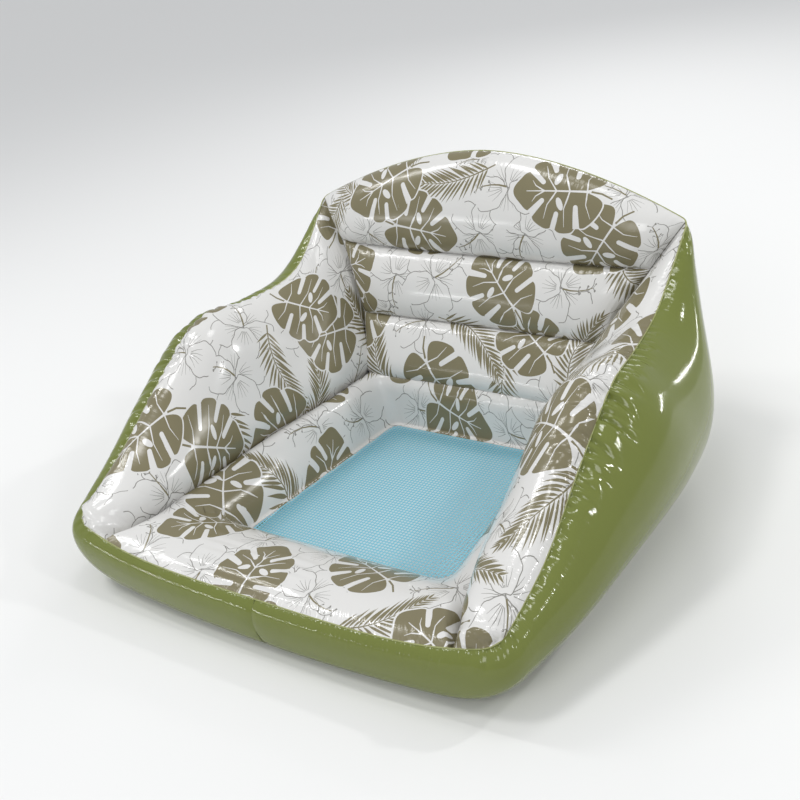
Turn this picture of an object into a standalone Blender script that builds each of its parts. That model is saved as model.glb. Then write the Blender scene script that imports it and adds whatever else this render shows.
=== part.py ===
"""Inflatable pool chair: welded vinyl panels round air chambers, a net seat and two push-in valves.

Every panel is a separate thin sheet, as it is cut and welded on the real chair.
Metres, +Z up, the front of the chair towards -Y, and the origin on the ground under its middle.
Right and left are as seen from the front, so the right side is at +X.
"""
import math
from collections import namedtuple

import bpy
import numpy as np
from mathutils import Matrix, Vector

# Driving sizes of the chair, in metres.
# The rim is the welded edge between the printed inner panels and the plain outer wrap.
RIM_HALF_WIDTH = 0.470        # half the distance between the two front corners of the rim
FRONT_CORNER_Y = -0.436
FRONT_CORNER_HEIGHT = 0.137
FRONT_BOW = 0.028             # how far the front rim stands forward at its middle
FRONT_DIP = 0.032             # how far the front rim drops at its middle
FRONT_POWER = 4
EAR_Y = 0.414
EAR_HEIGHT = 0.467
ARCH_BOW = 0.022              # how far the arched top stands back at its middle
ARCH_RISE = 0.114
ARCH_POWER = 1.8
CORNER_TRIM = 0.030           # how much of each edge a rounded front corner takes
EAR_TRIM = 0.012

# Where the arm's rim runs between its front corner and its ear, at even steps.
ARM_WIDTH_SHARES = (1.0, 1.014, 1.010, 1.0, 0.948, 0.912, 0.920)
ARM_HEIGHT_SHARES = (0.293, 0.418, 0.606, 0.762, 0.737, 0.766, 1.0)

# The outer wrap bulges out between the rim and the ground, by these reaches past the rim.
BULGE_FRONT_REACH = 0.038
BULGE_FRONT_BOW = 0.018
BULGE_FRONT_RADIUS = 0.056
BULGE_SIDE_REACH = 0.150
BULGE_WIDTH_SHARES = (0.851, 0.930, 0.981, 1.015, 1.002, 0.951, 0.775)
BULGE_SIDE_END = 0.034        # the side ends this far before the ear
BULGE_EAR_REACH = 0.0076      # how far the back corners stand out to the side of the ears
BULGE_CORNER_REACH = 0.024
BULGE_BACK_REACH = 0.086
BULGE_TOP_SHARE = 0.910       # height of the upper shaping point over the rim's height

# The line on the ground where the wrap meets the base panel, set in from the rim.
FOOT_FRONT_INSET = 0.004
FOOT_FRONT_BOW = 0.014
FOOT_FRONT_RADIUS = 0.070
FOOT_HALF_WIDTH = 0.304
FOOT_WIDTH_SHARES = (1.0, 1.0, 1.0, 1.0, 1.0, 0.99, 0.95)
FOOT_SIDE_END = 0.104
FOOT_BACK_HALF_WIDTH = 0.240
FOOT_CORNER_INSET = 0.042
FOOT_BACK_INSET = 0.009
BACK_CURVE_POWER = 2.5
TANGENT_SHARE = 0.01

# The net window in the seat.
NET_LEVEL = 0.031
NET_FRONT_Y = -0.230
NET_BACK_Y = 0.205
NET_FRONT_HALF_WIDTH = 0.236
NET_BACK_HALF_WIDTH = 0.184
WINDOW_RADIUS = 0.018

# The crease between each arm and the seat, from the front rim to the seat's back corner.
CREASE_START_SHARE = 0.885    # where the crease meets the front rim, over the rim's half width
CREASE_START_SETBACK = 0.012
CREASE_START_DROP = 0.012
CREASE_WIDTH_SHARES = (0.80, 0.762, 0.72, 0.66, 0.59, 0.545)
CREASE_LEVEL_SHARES = (0.76, 0.78, 0.84, 0.92, 0.98, 1.0)
SEAT_BACK_DEPTH = 0.033       # from the net window's back edge to the seat's back corners
SEAT_CORNER_LEVEL = 0.122
SEAT_BACK_BOW = 0.020

# The crease between each arm and the backrest, from the ear down to the seat's back corner.
SIDE_CREASE_WIDTH_SHARES = (0.92, 0.775, 0.66, 0.585, 0.545)

# Air gives each printed panel its crown.
SEAT_CROWN = 0.060
ARM_CROWN = 0.075
BACK_ROLLS = 3
WELD_HEIGHTS = (0.248, 0.383)   # the two level welds across the backrest
ROLL_CROWNS = (0.034, 0.032, 0.046)

# How the arm panel's pillow leaves the rim and comes down to its creases.
ARM_SPAN = 0.290              # slope length from rim to crease at which the crown is full
ARM_CROWN_POWER = 6
ARM_SHOULDER_SHARE = 0.20
ARM_BELLY_SHARE = 0.08
ARM_WALL_SHARE = 0.62
ARM_BACK_POWER = 4
SIDE_PULL_POWER = 4
ROLL_END_POWER = 6

# How the seat ring rises from the net and comes down to its creases.
SEAT_STEEP_SHARE = 0.06
SEAT_FLAT_SHARE = 0.33
SEAT_EDGE_SHARE = 0.75

# How the base panel leaves the ground to meet the net.
BASE_FLAT_SHARE = 0.55
BASE_LIFT_SHARE = 0.85
BASE_RISE_SHARE = 0.30

# Sheet and weld sizes.
SKIN = 0.00045
SEAM_CLEAR = 0.0004           # between two panels that are welded edge to edge
SHEET_STEP = 0.00035          # clear height between sheets that lie on each other
FLANGE = 0.010                # width of the flat welded border round the net
NET_THICKNESS = 0.0008
NET_BORDER_SHARE = 0.85       # how much of the flange the net's edge reaches under
TAPE_SHOW = 0.003             # how far the tape under the net shows inside the window

# The webs inside keep this distance from the faces that they are welded to.
WEB_GAP = 0.0013

# A push-in valve: flange, collar, sliding stem, plug and tether.
VALVE_LIFT = 0.0007           # the flange's underside over the facet that it is welded to
VALVE_BORE = 0.0070
COLLAR_WALL = 0.0014
COLLAR_DEPTH = 0.0080
COLLAR_GAP = 0.0005
FLANGE_RADIUS = 0.0165
FLANGE_THICKNESS = 0.0011
STEM_RADIUS = 0.0064
STEM_BORE = 0.0043
STEM_DEPTH = 0.021
LIP_RADIUS = 0.0092
LIP_THICKNESS = 0.0014
PLUG_RADIUS = 0.0039
PLUG_DEPTH = 0.0065
HEAD_RADIUS = 0.0068
HEAD_THICKNESS = 0.0020
HEAD_FLAT_SHARE = 0.70
VALVE_GAP = 0.0003
TETHER_RADIUS = 0.0007
TETHER_REACH = 0.0110
TETHER_RISE = 0.0060

SHARPEST_HALF_ANGLE = math.radians(15)
LEAST_STRIP_SHARE = 1.5       # a sheet's first strip counts as this many times what is drawn in

MERGE_DISTANCE = 0.00001

# How finely the panels are laid out.
FRONT_STEPS = 5
CORNER_STEPS = 3
ARM_STEPS = 10
EAR_STEPS = 4
ARCH_STEPS = 7
ROLL_STEPS = 4
WRAP_STEPS = 8
SEAT_STEPS = 5
ROW_STEPS = BACK_ROLLS * ROLL_STEPS
WEB_STEPS = 3
TURN_STEPS = 20
TETHER_STEPS = 8

# Which rows and columns of the panels the webs and the valves sit at.
DIVIDER_ROW = 5
DIVIDER_FIRST_COLUMN = 2
BAFFLE_COLUMNS = 7
ARM_WEB_FIRST_ROW = 3
ARM_WEB_ROW_JUMP = 2
UPPER_VALVE_ROW = 3
BASE_VALVE_ROW = 5
VALVE_COLUMN = 26

# An outline on the ground plan, seen from above.
Outline = namedtuple("Outline", "front_y front_bow front_radius half_width width_shares "
                                "side_back_y back_half_width back_corner_y back_y")
BULGE = Outline(FRONT_CORNER_Y - BULGE_FRONT_REACH, BULGE_FRONT_BOW, BULGE_FRONT_RADIUS,
                RIM_HALF_WIDTH + BULGE_SIDE_REACH, BULGE_WIDTH_SHARES, EAR_Y - BULGE_SIDE_END,
                RIM_HALF_WIDTH * ARM_WIDTH_SHARES[-1] + BULGE_EAR_REACH,
                EAR_Y + BULGE_CORNER_REACH, EAR_Y + BULGE_BACK_REACH)
FOOT = Outline(FRONT_CORNER_Y + FOOT_FRONT_INSET, FOOT_FRONT_BOW, FOOT_FRONT_RADIUS,
               FOOT_HALF_WIDTH, FOOT_WIDTH_SHARES, EAR_Y - FOOT_SIDE_END,
               FOOT_BACK_HALF_WIDTH, EAR_Y - FOOT_CORNER_INSET, EAR_Y - FOOT_BACK_INSET)


UP = np.array([0.0, 0.0, 1.0])


def curve_through(values, at):
    """Smooth line through evenly spaced values; at runs from 0 to 1 and may be an array."""
    values = np.asarray(values, dtype=float)
    last = len(values) - 1
    ends = np.concatenate([[2 * values[0] - values[1]], values, [2 * values[-1] - values[-2]]])
    place = np.clip(np.asarray(at, dtype=float) * last, 0, last)
    step = np.minimum(place.astype(int), last - 1)
    t = place - step
    a, b, c, d = (ends[step + k] for k in range(4))
    return 0.5 * (2 * b + (c - a) * t + (2 * a - 5 * b + 4 * c - d) * t ** 2
                  + (3 * b - a - 3 * c + d) * t ** 3)


def bezier(points, t):
    """Cubic curve for four shaping points; t is a number or a column of numbers."""
    a, b, c, d = points
    s = 1 - t
    return a * s ** 3 + 3 * b * t * s ** 2 + 3 * c * t ** 2 * s + d * t ** 3


def bend(start, corner, end, t):
    """Rounded corner between two edges."""
    s = 1 - t
    return start * s ** 2 + 2 * corner * t * s + end * t ** 2


def front_rim(share):
    """Front rim at a share of its half width."""
    fall = 1 - abs(share) ** FRONT_POWER
    return np.array([RIM_HALF_WIDTH * share, FRONT_CORNER_Y - FRONT_BOW * fall,
                     FRONT_CORNER_HEIGHT - FRONT_DIP * fall])


def arm_rim(share):
    """Right arm's rim from the front corner (0) to the ear (1)."""
    y = FRONT_CORNER_Y + (EAR_Y - FRONT_CORNER_Y) * share
    return np.array([RIM_HALF_WIDTH * curve_through(ARM_WIDTH_SHARES, share), y,
                     EAR_HEIGHT * curve_through(ARM_HEIGHT_SHARES, share)])


def arch_rim(share):
    """Arched top of the backrest at a share of its half width, from the middle (0) to the ear (1)."""
    width = RIM_HALF_WIDTH * ARM_WIDTH_SHARES[-1]
    fall = 1 - abs(share) ** ARCH_POWER
    return np.array([width * share, EAR_Y + ARCH_BOW * fall, EAR_HEIGHT + ARCH_RISE * fall])


def stations():
    """Section name and share of each place round the right half, from front middle to back middle."""
    places = [("front", k / FRONT_STEPS * CREASE_START_SHARE) for k in range(FRONT_STEPS)]
    places.append(("front", CREASE_START_SHARE))
    places += [("corner", k / CORNER_STEPS) for k in range(CORNER_STEPS)]
    places += [("arm", k / ARM_STEPS) for k in range(ARM_STEPS)]
    places += [("ear", k / EAR_STEPS) for k in range(EAR_STEPS)]
    places += [("arch", 1 - k / ARCH_STEPS) for k in range(ARCH_STEPS + 1)]
    return places


def ear_column():
    """Column of the wrap, counted from the front middle, that starts at the ear's point."""
    return FRONT_STEPS + 1 + CORNER_STEPS + ARM_STEPS + EAR_STEPS // 2


def back_columns():
    """Steps from the ear's point to the back's middle."""
    return EAR_STEPS // 2 + ARCH_STEPS


def rim_point(section, share):
    """Rim at one station. The corners take a short trim of the edges that they join."""
    front_trim = CORNER_TRIM / RIM_HALF_WIDTH
    arm_length = EAR_Y - FRONT_CORNER_Y
    arm_start = CORNER_TRIM / arm_length
    arm_end = 1 - EAR_TRIM / arm_length
    arch_end = 1 - EAR_TRIM / (RIM_HALF_WIDTH * ARM_WIDTH_SHARES[-1])
    if section == "front":
        return front_rim(share)
    if section == "corner":
        return bend(front_rim(1 - front_trim), front_rim(1), arm_rim(arm_start), share)
    if section == "arm":
        return arm_rim(arm_start + (arm_end - arm_start) * share)
    if section == "ear":
        return bend(arm_rim(arm_end), arm_rim(1), arch_rim(arch_end), share)
    return arch_rim(arch_end * share)


def side_line(outline, share):
    """Side of a ground outline, from behind the front corner (0) to the start of the back corner (1)."""
    low = outline.front_y + outline.front_radius
    y = low + (outline.side_back_y - low) * share
    return np.array([outline.half_width * curve_through(outline.width_shares, share), y])


def back_line(outline, share):
    """Back of a ground outline at a share of its half width, from its middle (0) to its corner (1)."""
    fall = outline.back_y - outline.back_corner_y
    return np.array([outline.back_half_width * share,
                     outline.back_y - fall * share ** BACK_CURVE_POWER])


def meeting_point(start, start_way, end, end_way):
    """Where the lines through two points on the plan cross."""
    reach = np.linalg.solve(np.array([start_way, end_way]).T, end - start)[0]
    return start + reach * start_way


def plan_point(section, share, outline):
    """Place on a rounded outline on the ground plan that keeps step with the rim's stations."""
    radius = outline.front_radius
    wide = outline.half_width * outline.width_shares[0]
    if section == "front":
        bow = outline.front_bow * (1 - share ** 2)
        return np.array([(wide - radius) * share, outline.front_y - bow])
    if section == "corner":
        turn = math.pi / 2 * (share - 1)
        centre = np.array([wide - radius, outline.front_y + radius])
        return centre + radius * np.array([math.cos(turn), math.sin(turn)])
    if section == "arm":
        return side_line(outline, share)
    if section == "ear":
        start, end = side_line(outline, 1), back_line(outline, 1)
        start_way = start - side_line(outline, 1 - TANGENT_SHARE)
        end_way = end - back_line(outline, 1 - TANGENT_SHARE)
        return bend(start, meeting_point(start, start_way, end, end_way), end, share)
    return back_line(outline, share)


def ear_tip():
    """Point of the ear, where the arm panel and the backrest panel meet at the rim."""
    return rim_point("ear", 0.5)


def wrap_shape(section, share):
    """Four shaping points of the outer wrap's section at one station, from the rim to the ground."""
    rim = rim_point(section, share)
    bulge = plan_point(section, share, BULGE)
    foot = plan_point(section, share, FOOT)
    return (rim, np.array([*bulge, rim[2] * BULGE_TOP_SHARE]), np.array([*bulge, 0.0]),
            np.array([*foot, 0.0]))


def arm_crease(share):
    """Crease between the right arm and the seat, from the front rim (0) to the back corner (1)."""
    start = front_rim(CREASE_START_SHARE)
    start = start + np.array([0.0, CREASE_START_SETBACK, -CREASE_START_DROP])
    y = start[1] + (NET_BACK_Y + SEAT_BACK_DEPTH - start[1]) * share
    widths = (start[0] / RIM_HALF_WIDTH,) + CREASE_WIDTH_SHARES[1:]
    levels = (start[2] / SEAT_CORNER_LEVEL,) + CREASE_LEVEL_SHARES[1:]
    return np.array([RIM_HALF_WIDTH * curve_through(widths, share), y,
                     SEAT_CORNER_LEVEL * curve_through(levels, share)])


def back_crease(share):
    """Crease between the backrest and the seat, from the middle (0) to the right corner (1)."""
    corner = arm_crease(1)
    return corner * np.array([share, 1, 1]) + np.array([0, SEAT_BACK_BOW * (1 - share ** 2), 0])


def side_crease(share):
    """Crease between the right arm and the backrest, from the ear (0) to the seat (1)."""
    top, low = ear_tip(), arm_crease(1)
    line = top + (low - top) * share
    widths = (top[0] / RIM_HALF_WIDTH,) + SIDE_CREASE_WIDTH_SHARES[1:-1] + (low[0] / RIM_HALF_WIDTH,)
    return np.array([RIM_HALF_WIDTH * curve_through(widths, share), line[1], line[2]])


def remove_everything():
    for old in list(bpy.data.objects):
        bpy.data.objects.remove(old, do_unlink=True)


def row_shares(top, low):
    """Places of the panel rows between the top line and the foot.

    The backrest's welds run level, and the rows lie in even steps inside each roll between them.
    """
    drop = top[2] - low[2]
    marks = [0.0] + [(top[2] - height) / drop for height in reversed(WELD_HEIGHTS)] + [1.0]
    rows = []
    for roll in range(BACK_ROLLS):
        start, end = marks[roll], marks[roll + 1]
        rows += [start + (end - start) * k / ROLL_STEPS for k in range(ROLL_STEPS)]
    return rows + [1.0]


def seam_gaps(edge, one, other, thick_inside):
    """How far two sheets stop short of the seam they share, so that their edges stay just clear.

    The sheets run from the edge points towards the points one and other. Where both are thickened
    into the corner between them, a sharp corner needs more room than a flat seam.
    """
    first = (one - edge) / np.linalg.norm(one - edge, axis=-1, keepdims=True)
    second = (other - edge) / np.linalg.norm(other - edge, axis=-1, keepdims=True)
    half = np.arccos(np.clip((first * second).sum(axis=-1), -1, 1)) / 2
    half = np.maximum(half, SHARPEST_HALF_ANGLE)
    thick = SKIN * np.cos(half) if thick_inside else 0.0
    return (SEAM_CLEAR / 2 + thick) / np.sin(half)


def unit(vector):
    return vector / np.linalg.norm(vector)


def grid_normals(grid):
    """Unit normals of a grid of points, from its rows towards its columns."""
    along = np.gradient(grid, axis=1)
    across = np.gradient(grid, axis=0)
    normals = np.cross(across, along)
    lengths = np.linalg.norm(normals, axis=2, keepdims=True)
    return normals / np.maximum(lengths, np.finfo(float).eps)


def arm_columns():
    """Rim points along the arm panel's top edge, with the matching places along its crease."""
    used = stations()[FRONT_STEPS:ear_column() + 1]
    rim = np.array([rim_point(*place) for place in used])
    run = np.concatenate([[0], np.cumsum(np.linalg.norm(np.diff(rim, axis=0), axis=1))])
    return rim, run / run[-1]


def arm_grid():
    """Right arm's printed panel: rows from the rim down to the seat crease, columns front to back."""
    rim, shares = arm_columns()
    side_rows = row_shares(ear_tip(), arm_crease(1))
    crease = np.array([side_crease(row) for row in side_rows])
    chord = np.array([ear_tip() + (arm_crease(1) - ear_tip()) * row for row in side_rows])
    columns = []
    for top, share in zip(rim, shares):
        low = arm_crease(share)
        inward = unit((low - top) * np.array([1.0, 1.0, 0.0]))
        span = np.linalg.norm(low - top)
        crown = ARM_CROWN / ARM_SPAN * span * (1 - share ** ARM_CROWN_POWER)
        upper = top + inward * ARM_SHOULDER_SHARE * span + UP * crown
        lower = low + inward * ARM_BELLY_SHARE * span + UP * ARM_WALL_SHARE * span
        curved = np.array([bezier((top, upper, lower, low), row) for row in side_rows])
        straight = np.array([top + (low - top) * row for row in side_rows])
        blend = share ** ARM_BACK_POWER
        columns.append(curved * (1 - blend) + blend * (straight + crease - chord))
    return np.array(columns).transpose(1, 0, 2)


def backrest_grid():
    """Right half of the backrest's printed panel: rows from the arch down, columns from the middle."""
    side_rows = row_shares(ear_tip(), arm_crease(1))
    chord = [ear_tip() + (arm_crease(1) - ear_tip()) * row for row in side_rows]
    pulls = [side_crease(row) - point for row, point in zip(side_rows, chord)]
    columns = []
    shares = np.arange(back_columns() + 1) / back_columns()
    for place, share in zip(stations()[:ear_column() - 1:-1], shares):
        top = rim_point(*place)
        low = back_crease(share)
        columns.append([top + (low - top) * row + pull * share ** SIDE_PULL_POWER
                        for row, pull in zip(row_shares(top, low), pulls)])
    grid = np.array(columns).transpose(1, 0, 2)
    normals = grid_normals(grid)
    fullness = np.sqrt(1 - shares ** ROLL_END_POWER)
    for roll, crown in enumerate(reversed(ROLL_CROWNS)):
        for k in range(1, ROLL_STEPS):
            row = roll * ROLL_STEPS + k
            arc = math.sqrt(1 - (2 * k / ROLL_STEPS - 1) ** 2)
            grid[row] += normals[row] * (crown * arc * fullness)[:, None]
    return grid


def window_point(section, share, offset, level):
    """Rounded window outline at a share of one of its stretches, moved out by an offset."""
    front_wide = NET_FRONT_HALF_WIDTH + offset
    back_wide = NET_BACK_HALF_WIDTH + offset
    front_y = NET_FRONT_Y - offset
    back_y = NET_BACK_Y + offset
    radius = WINDOW_RADIUS + offset
    front = np.array([front_wide, front_y])
    back = np.array([back_wide, back_y])
    side = unit(back - front)
    if section == "front":
        flat = np.array([(front_wide - radius) * share, front_y])
    elif section == "front_corner":
        flat = bend(front - np.array([radius, 0]), front, front + side * radius, share)
    elif section == "side":
        flat = front + side * radius + (back - front - 2 * side * radius) * share
    elif section == "back_corner":
        flat = bend(back - side * radius, back, back - np.array([radius, 0]), share)
    else:
        flat = np.array([(back_wide - radius) * (1 - share), back_y])
    return np.array([*flat, level])


def seat_grid():
    """Right half of the printed seat ring: rows from the window out, columns from front to back."""
    shares = arm_columns()[1]
    outer = [rim_point(*place) for place in stations()[:FRONT_STEPS + 1]]
    outer += [arm_crease(share) for share in shares]
    outer += [back_crease(1 - k / back_columns()) for k in range(1, back_columns() + 1)]
    side_count = len(shares) - 3
    inner = [("front", k / FRONT_STEPS) for k in range(FRONT_STEPS)]
    inner += [("front_corner", 0), ("front_corner", 0.5)]
    inner += [("side", k / side_count) for k in range(side_count + 1)]
    inner += [("back_corner", 0.5)]
    inner += [("back", k / (back_columns() - 1)) for k in range(back_columns())]
    level = NET_LEVEL + SHEET_STEP + SKIN
    columns = []
    for edge, place in zip(outer, inner):
        lip = window_point(*place, 0.0, level)
        start = window_point(*place, FLANGE, level)
        outward = (edge - start) * np.array([1.0, 1.0, 0.0])
        upper = start + outward * SEAT_STEEP_SHARE + UP * SEAT_CROWN
        lower = edge - outward * SEAT_FLAT_SHARE + UP * SEAT_CROWN * SEAT_EDGE_SHARE
        column = [lip] + [bezier((start, upper, lower, edge), k / SEAT_STEPS)
                          for k in range(SEAT_STEPS + 1)]
        columns.append(column)
    return np.array(columns).transpose(1, 0, 2)


def wrap_grid():
    """Right half of the outer wrap: rows from the rim to the ground, columns from front to back."""
    columns = []
    for place in stations():
        shape = wrap_shape(*place)
        columns.append([bezier(shape, k / WRAP_STEPS) for k in range(WRAP_STEPS + 1)])
    return np.array(columns).transpose(1, 0, 2)


def base_grid():
    """Right half of the base panel: rows from the ground outline in to the window."""
    corner_first = FRONT_STEPS + 1
    side_first = corner_first + CORNER_STEPS
    ear_first = side_first + ARM_STEPS
    columns = []
    level = NET_LEVEL - NET_THICKNESS - 2 * SHEET_STEP - 2 * SKIN
    for index, place in enumerate(stations()):
        foot = wrap_shape(*place)[3]
        if index < corner_first:
            spot = ("front", index / corner_first)
        elif index < side_first:
            spot = ("front_corner", (index - corner_first) / CORNER_STEPS)
        elif index < ear_first:
            spot = ("side", (index - side_first) / ARM_STEPS)
        elif index < ear_first + EAR_STEPS:
            spot = ("back_corner", (index - ear_first) / EAR_STEPS)
        else:
            spot = ("back", (index - ear_first - EAR_STEPS) / ARCH_STEPS)
        lip = window_point(*spot, 0.0, level)
        start = window_point(*spot, FLANGE, level)
        ground = start * np.array([1.0, 1.0, 0.0])
        flat = foot + (ground - foot) * BASE_FLAT_SHARE
        lifted = foot + (ground - foot) * BASE_LIFT_SHARE + (start - ground) * BASE_RISE_SHARE
        columns.append([foot, flat, lifted, start, lip])
    return np.array(columns).transpose(1, 0, 2)


def trimmed(grid, first_row=0.0, last_row=0.0, first_column=0.0, last_column=0.0):
    """Grid with its edges drawn in by the given distances along the sheet."""
    grid = grid.copy()

    def draw_in(edge, inner, distance):
        step = inner - edge
        distance = np.broadcast_to(distance, edge.shape[:1])[:, None]
        length = np.maximum(np.linalg.norm(step, axis=-1, keepdims=True), distance * LEAST_STRIP_SHARE)
        return edge + step / length * distance

    if np.any(first_row):
        grid[0] = draw_in(grid[0], grid[1], first_row)
    if np.any(last_row):
        grid[-1] = draw_in(grid[-1], grid[-2], last_row)
    if np.any(first_column):
        grid[:, 0] = draw_in(grid[:, 0], grid[:, 1], first_column)
    if np.any(last_column):
        grid[:, -1] = draw_in(grid[:, -1], grid[:, -2], last_column)
    return grid


def mirrored(grid):
    """The same sheet on the other side of the chair."""
    return grid[:, ::-1] * np.array([-1.0, 1.0, 1.0])


def joined(half):
    """Whole sheet from its right half, whose first column lies on the chair's middle."""
    return np.concatenate([mirrored(half)[:, :-1], half], axis=1)


def both_sides(half):
    """A row of sizes for a whole sheet from those of its right half."""
    return np.concatenate([half[::-1][:-1], half])


def make_material(name, colour, roughness, alpha=1.0):
    material = bpy.data.materials.new(name)
    material.use_nodes = True
    shader = material.node_tree.nodes["Principled BSDF"]
    shader.inputs["Base Color"].default_value = (*colour, 1.0)
    shader.inputs["Roughness"].default_value = roughness
    shader.inputs["Metallic"].default_value = 0.0
    shader.inputs["Alpha"].default_value = alpha
    material.diffuse_color = (*colour, alpha)
    return material


def place(obj, collection, material, parent):
    """Put a new object in the chair's collection, under its parent, with its material."""
    for other in list(obj.users_collection):
        other.objects.unlink(obj)
    collection.objects.link(obj)
    obj.data.materials.clear()
    obj.data.materials.append(material)
    obj.parent = parent
    return obj


def sheet(name, grid, material, collection, parent, closed=False, outside=1):
    """Thin sheet lofted over a grid of points on its outer face, thickened into the chamber."""
    rows, columns = grid.shape[:2]
    faces = []
    for row in range(rows - 1):
        for column in range(columns if closed else columns - 1):
            after = (column + 1) % columns
            face = (row * columns + column, row * columns + after,
                    (row + 1) * columns + after, (row + 1) * columns + column)
            faces.append(face[::-1] if outside < 0 else face)
    mesh = bpy.data.meshes.new(name)
    mesh.from_pydata([tuple(point) for point in grid.reshape(-1, 3)], [], faces)
    mesh.shade_smooth()
    obj = place(bpy.data.objects.new(name, mesh), collection, material, parent)
    thicken = obj.modifiers.new("skin", "SOLIDIFY")
    thicken.thickness = SKIN
    thicken.offset = -1.0
    return obj


def web(front, rear):
    """Sheet between two lines of points, drawn in from both."""
    share = np.linspace(0.0, 1.0, WEB_STEPS + 1)[:, None, None]
    grid = front[None] * (1 - share) + rear[None] * share
    return trimmed(grid, first_row=WEB_GAP, last_row=WEB_GAP)


def build_panels(collection, parent, wrap, vinyl, printed):
    """The printed panels, the outer wrap and the base, each drawn in from the seams that it shares."""
    arm, back, seat, base = arm_grid(), backrest_grid(), seat_grid(), base_grid()
    first, ear = FRONT_STEPS, ear_column()
    rim_arm = seam_gaps(wrap[0, first:ear + 1], wrap[1, first:ear + 1], arm[1], True)
    rim_back = seam_gaps(back[0], wrap[1, ear:][::-1], back[1], True)
    rim_seat = seam_gaps(wrap[0, :first + 1], wrap[1, :first + 1], seat[-2, :first + 1], True)
    rim = np.concatenate([rim_seat[:-1], rim_arm[:-1], rim_back[::-1]])
    foot = seam_gaps(wrap[-1], wrap[-2], base[1], False)
    crease = seam_gaps(arm[-1], arm[-2], seat[-2, first + 1:ear + 2], False)
    heel = seam_gaps(back[-1], back[-2], seat[-2, ear + 1:][::-1], False)
    side = seam_gaps(arm[:, -1], arm[:, -2], back[:, -2], False)
    side[0] = side[-1] = SEAM_CLEAR
    half_gap = SEAM_CLEAR / 2
    arm = trimmed(arm, rim_arm, crease, half_gap, side)
    wrap = trimmed(wrap, rim, foot, half_gap, half_gap)
    for hand, turn in (("right", np.copy), ("left", mirrored)):
        sheet("outer_wrap_" + hand, turn(wrap), vinyl, collection, parent, outside=-1)
        sheet("arm_panel_" + hand, turn(arm), printed, collection, parent)
    back = trimmed(joined(back), both_sides(rim_back), both_sides(heel), side, side)
    sheet("backrest_panel", back, printed, collection, parent, outside=-1)
    border = np.concatenate([rim_seat, crease, heel[::-1][1:]])
    seat = trimmed(joined(seat)[:, :-1], last_row=both_sides(border)[:-1])
    sheet("seat_panel", seat, printed, collection, parent, closed=True, outside=-1)
    base = trimmed(joined(base)[:, :-1], first_row=both_sides(foot)[:-1])
    sheet("base_panel", base, vinyl, collection, parent, closed=True, outside=-1)


def build_webs(collection, parent, wrap, plain):
    """Sheets inside the chambers: they part the two chambers and hold the creases and welds in."""
    crease = np.array([arm_crease(share) for share in arm_columns()[1]])
    outer = wrap[DIVIDER_ROW, FRONT_STEPS:ear_column() + 1]
    first = DIVIDER_FIRST_COLUMN
    divider = trimmed(web(crease[first:], outer[first:]), last_column=SEAM_CLEAR)
    for side, turn in (("right", np.copy), ("left", mirrored)):
        sheet("divider_web_" + side, turn(divider), plain, collection, parent)
    crease = np.array([back_crease(k / back_columns()) for k in range(back_columns() + 1)])
    outer = wrap[DIVIDER_ROW, ear_column():][::-1]
    divider = trimmed(joined(web(crease, outer)), first_column=SEAM_CLEAR, last_column=SEAM_CLEAR)
    sheet("divider_web_back", divider, plain, collection, parent)

    back = backrest_grid()
    for name, roll in (("upper", 1), ("lower", 2)):
        row = roll * ROLL_STEPS
        front = back[row, :BAFFLE_COLUMNS + 1]
        rear = []
        for k, point in enumerate(front):
            line = wrap[:, -1 - k]
            rear.append([np.interp(point[2], line[::-1, 2], line[::-1, axis]) for axis in range(3)])
        baffle = joined(web(front, np.array(rear)))
        sheet("backrest_baffle_" + name, baffle, plain, collection, parent)

    rows = row_shares(ear_tip(), arm_crease(1))[ARM_WEB_FIRST_ROW:-1:ARM_WEB_ROW_JUMP]
    front = np.array([side_crease(row) for row in rows])
    line = wrap[:DIVIDER_ROW + 1, ear_column()]
    rear = []
    for k in range(len(front)):
        share = (k + 1) / (len(front) + 1)
        rear.append([np.interp(share * DIVIDER_ROW, range(DIVIDER_ROW + 1), line[:, axis])
                     for axis in range(3)])
    arm_web = web(front, np.array(rear))
    for side, turn in (("right", np.copy), ("left", mirrored)):
        sheet("arm_web_" + side, turn(arm_web), plain, collection, parent)


def build_net(collection, parent, net_material, tape_material):
    """The flat net in the seat, as one thin sheet, and the vinyl tape welded under its edge."""
    border = FLANGE * NET_BORDER_SHARE
    places = [("front", 0.0), ("front", 1.0), ("front_corner", 0.5), ("side", 0.0), ("side", 0.5),
              ("side", 1.0), ("back_corner", 0.5), ("back", 0.0), ("back", 1.0)]
    level = NET_LEVEL - NET_THICKNESS / 2
    right = np.array([window_point(*spot, border, level) for spot in places])
    left = right[-2:0:-1] * np.array([-1.0, 1.0, 1.0])
    outline = [*right, *left]
    mesh = bpy.data.meshes.new("seat_net")
    mesh.from_pydata(outline, [], [range(len(outline))])
    net = place(bpy.data.objects.new("seat_net", mesh), collection, net_material, parent)
    thickness = net.modifiers.new("thickness", "SOLIDIFY")
    thickness.thickness = NET_THICKNESS
    thickness.offset = 0.0

    tape_level = NET_LEVEL - NET_THICKNESS - SHEET_STEP
    half = np.array([[window_point(*spot, -TAPE_SHOW, tape_level),
                      window_point(*spot, border, tape_level)] for spot in places])
    half = half.transpose(1, 0, 2)
    tape = joined(half)[:, :-1]
    sheet("net_border_tape", tape, tape_material, collection, parent, closed=True, outside=-1)


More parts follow.
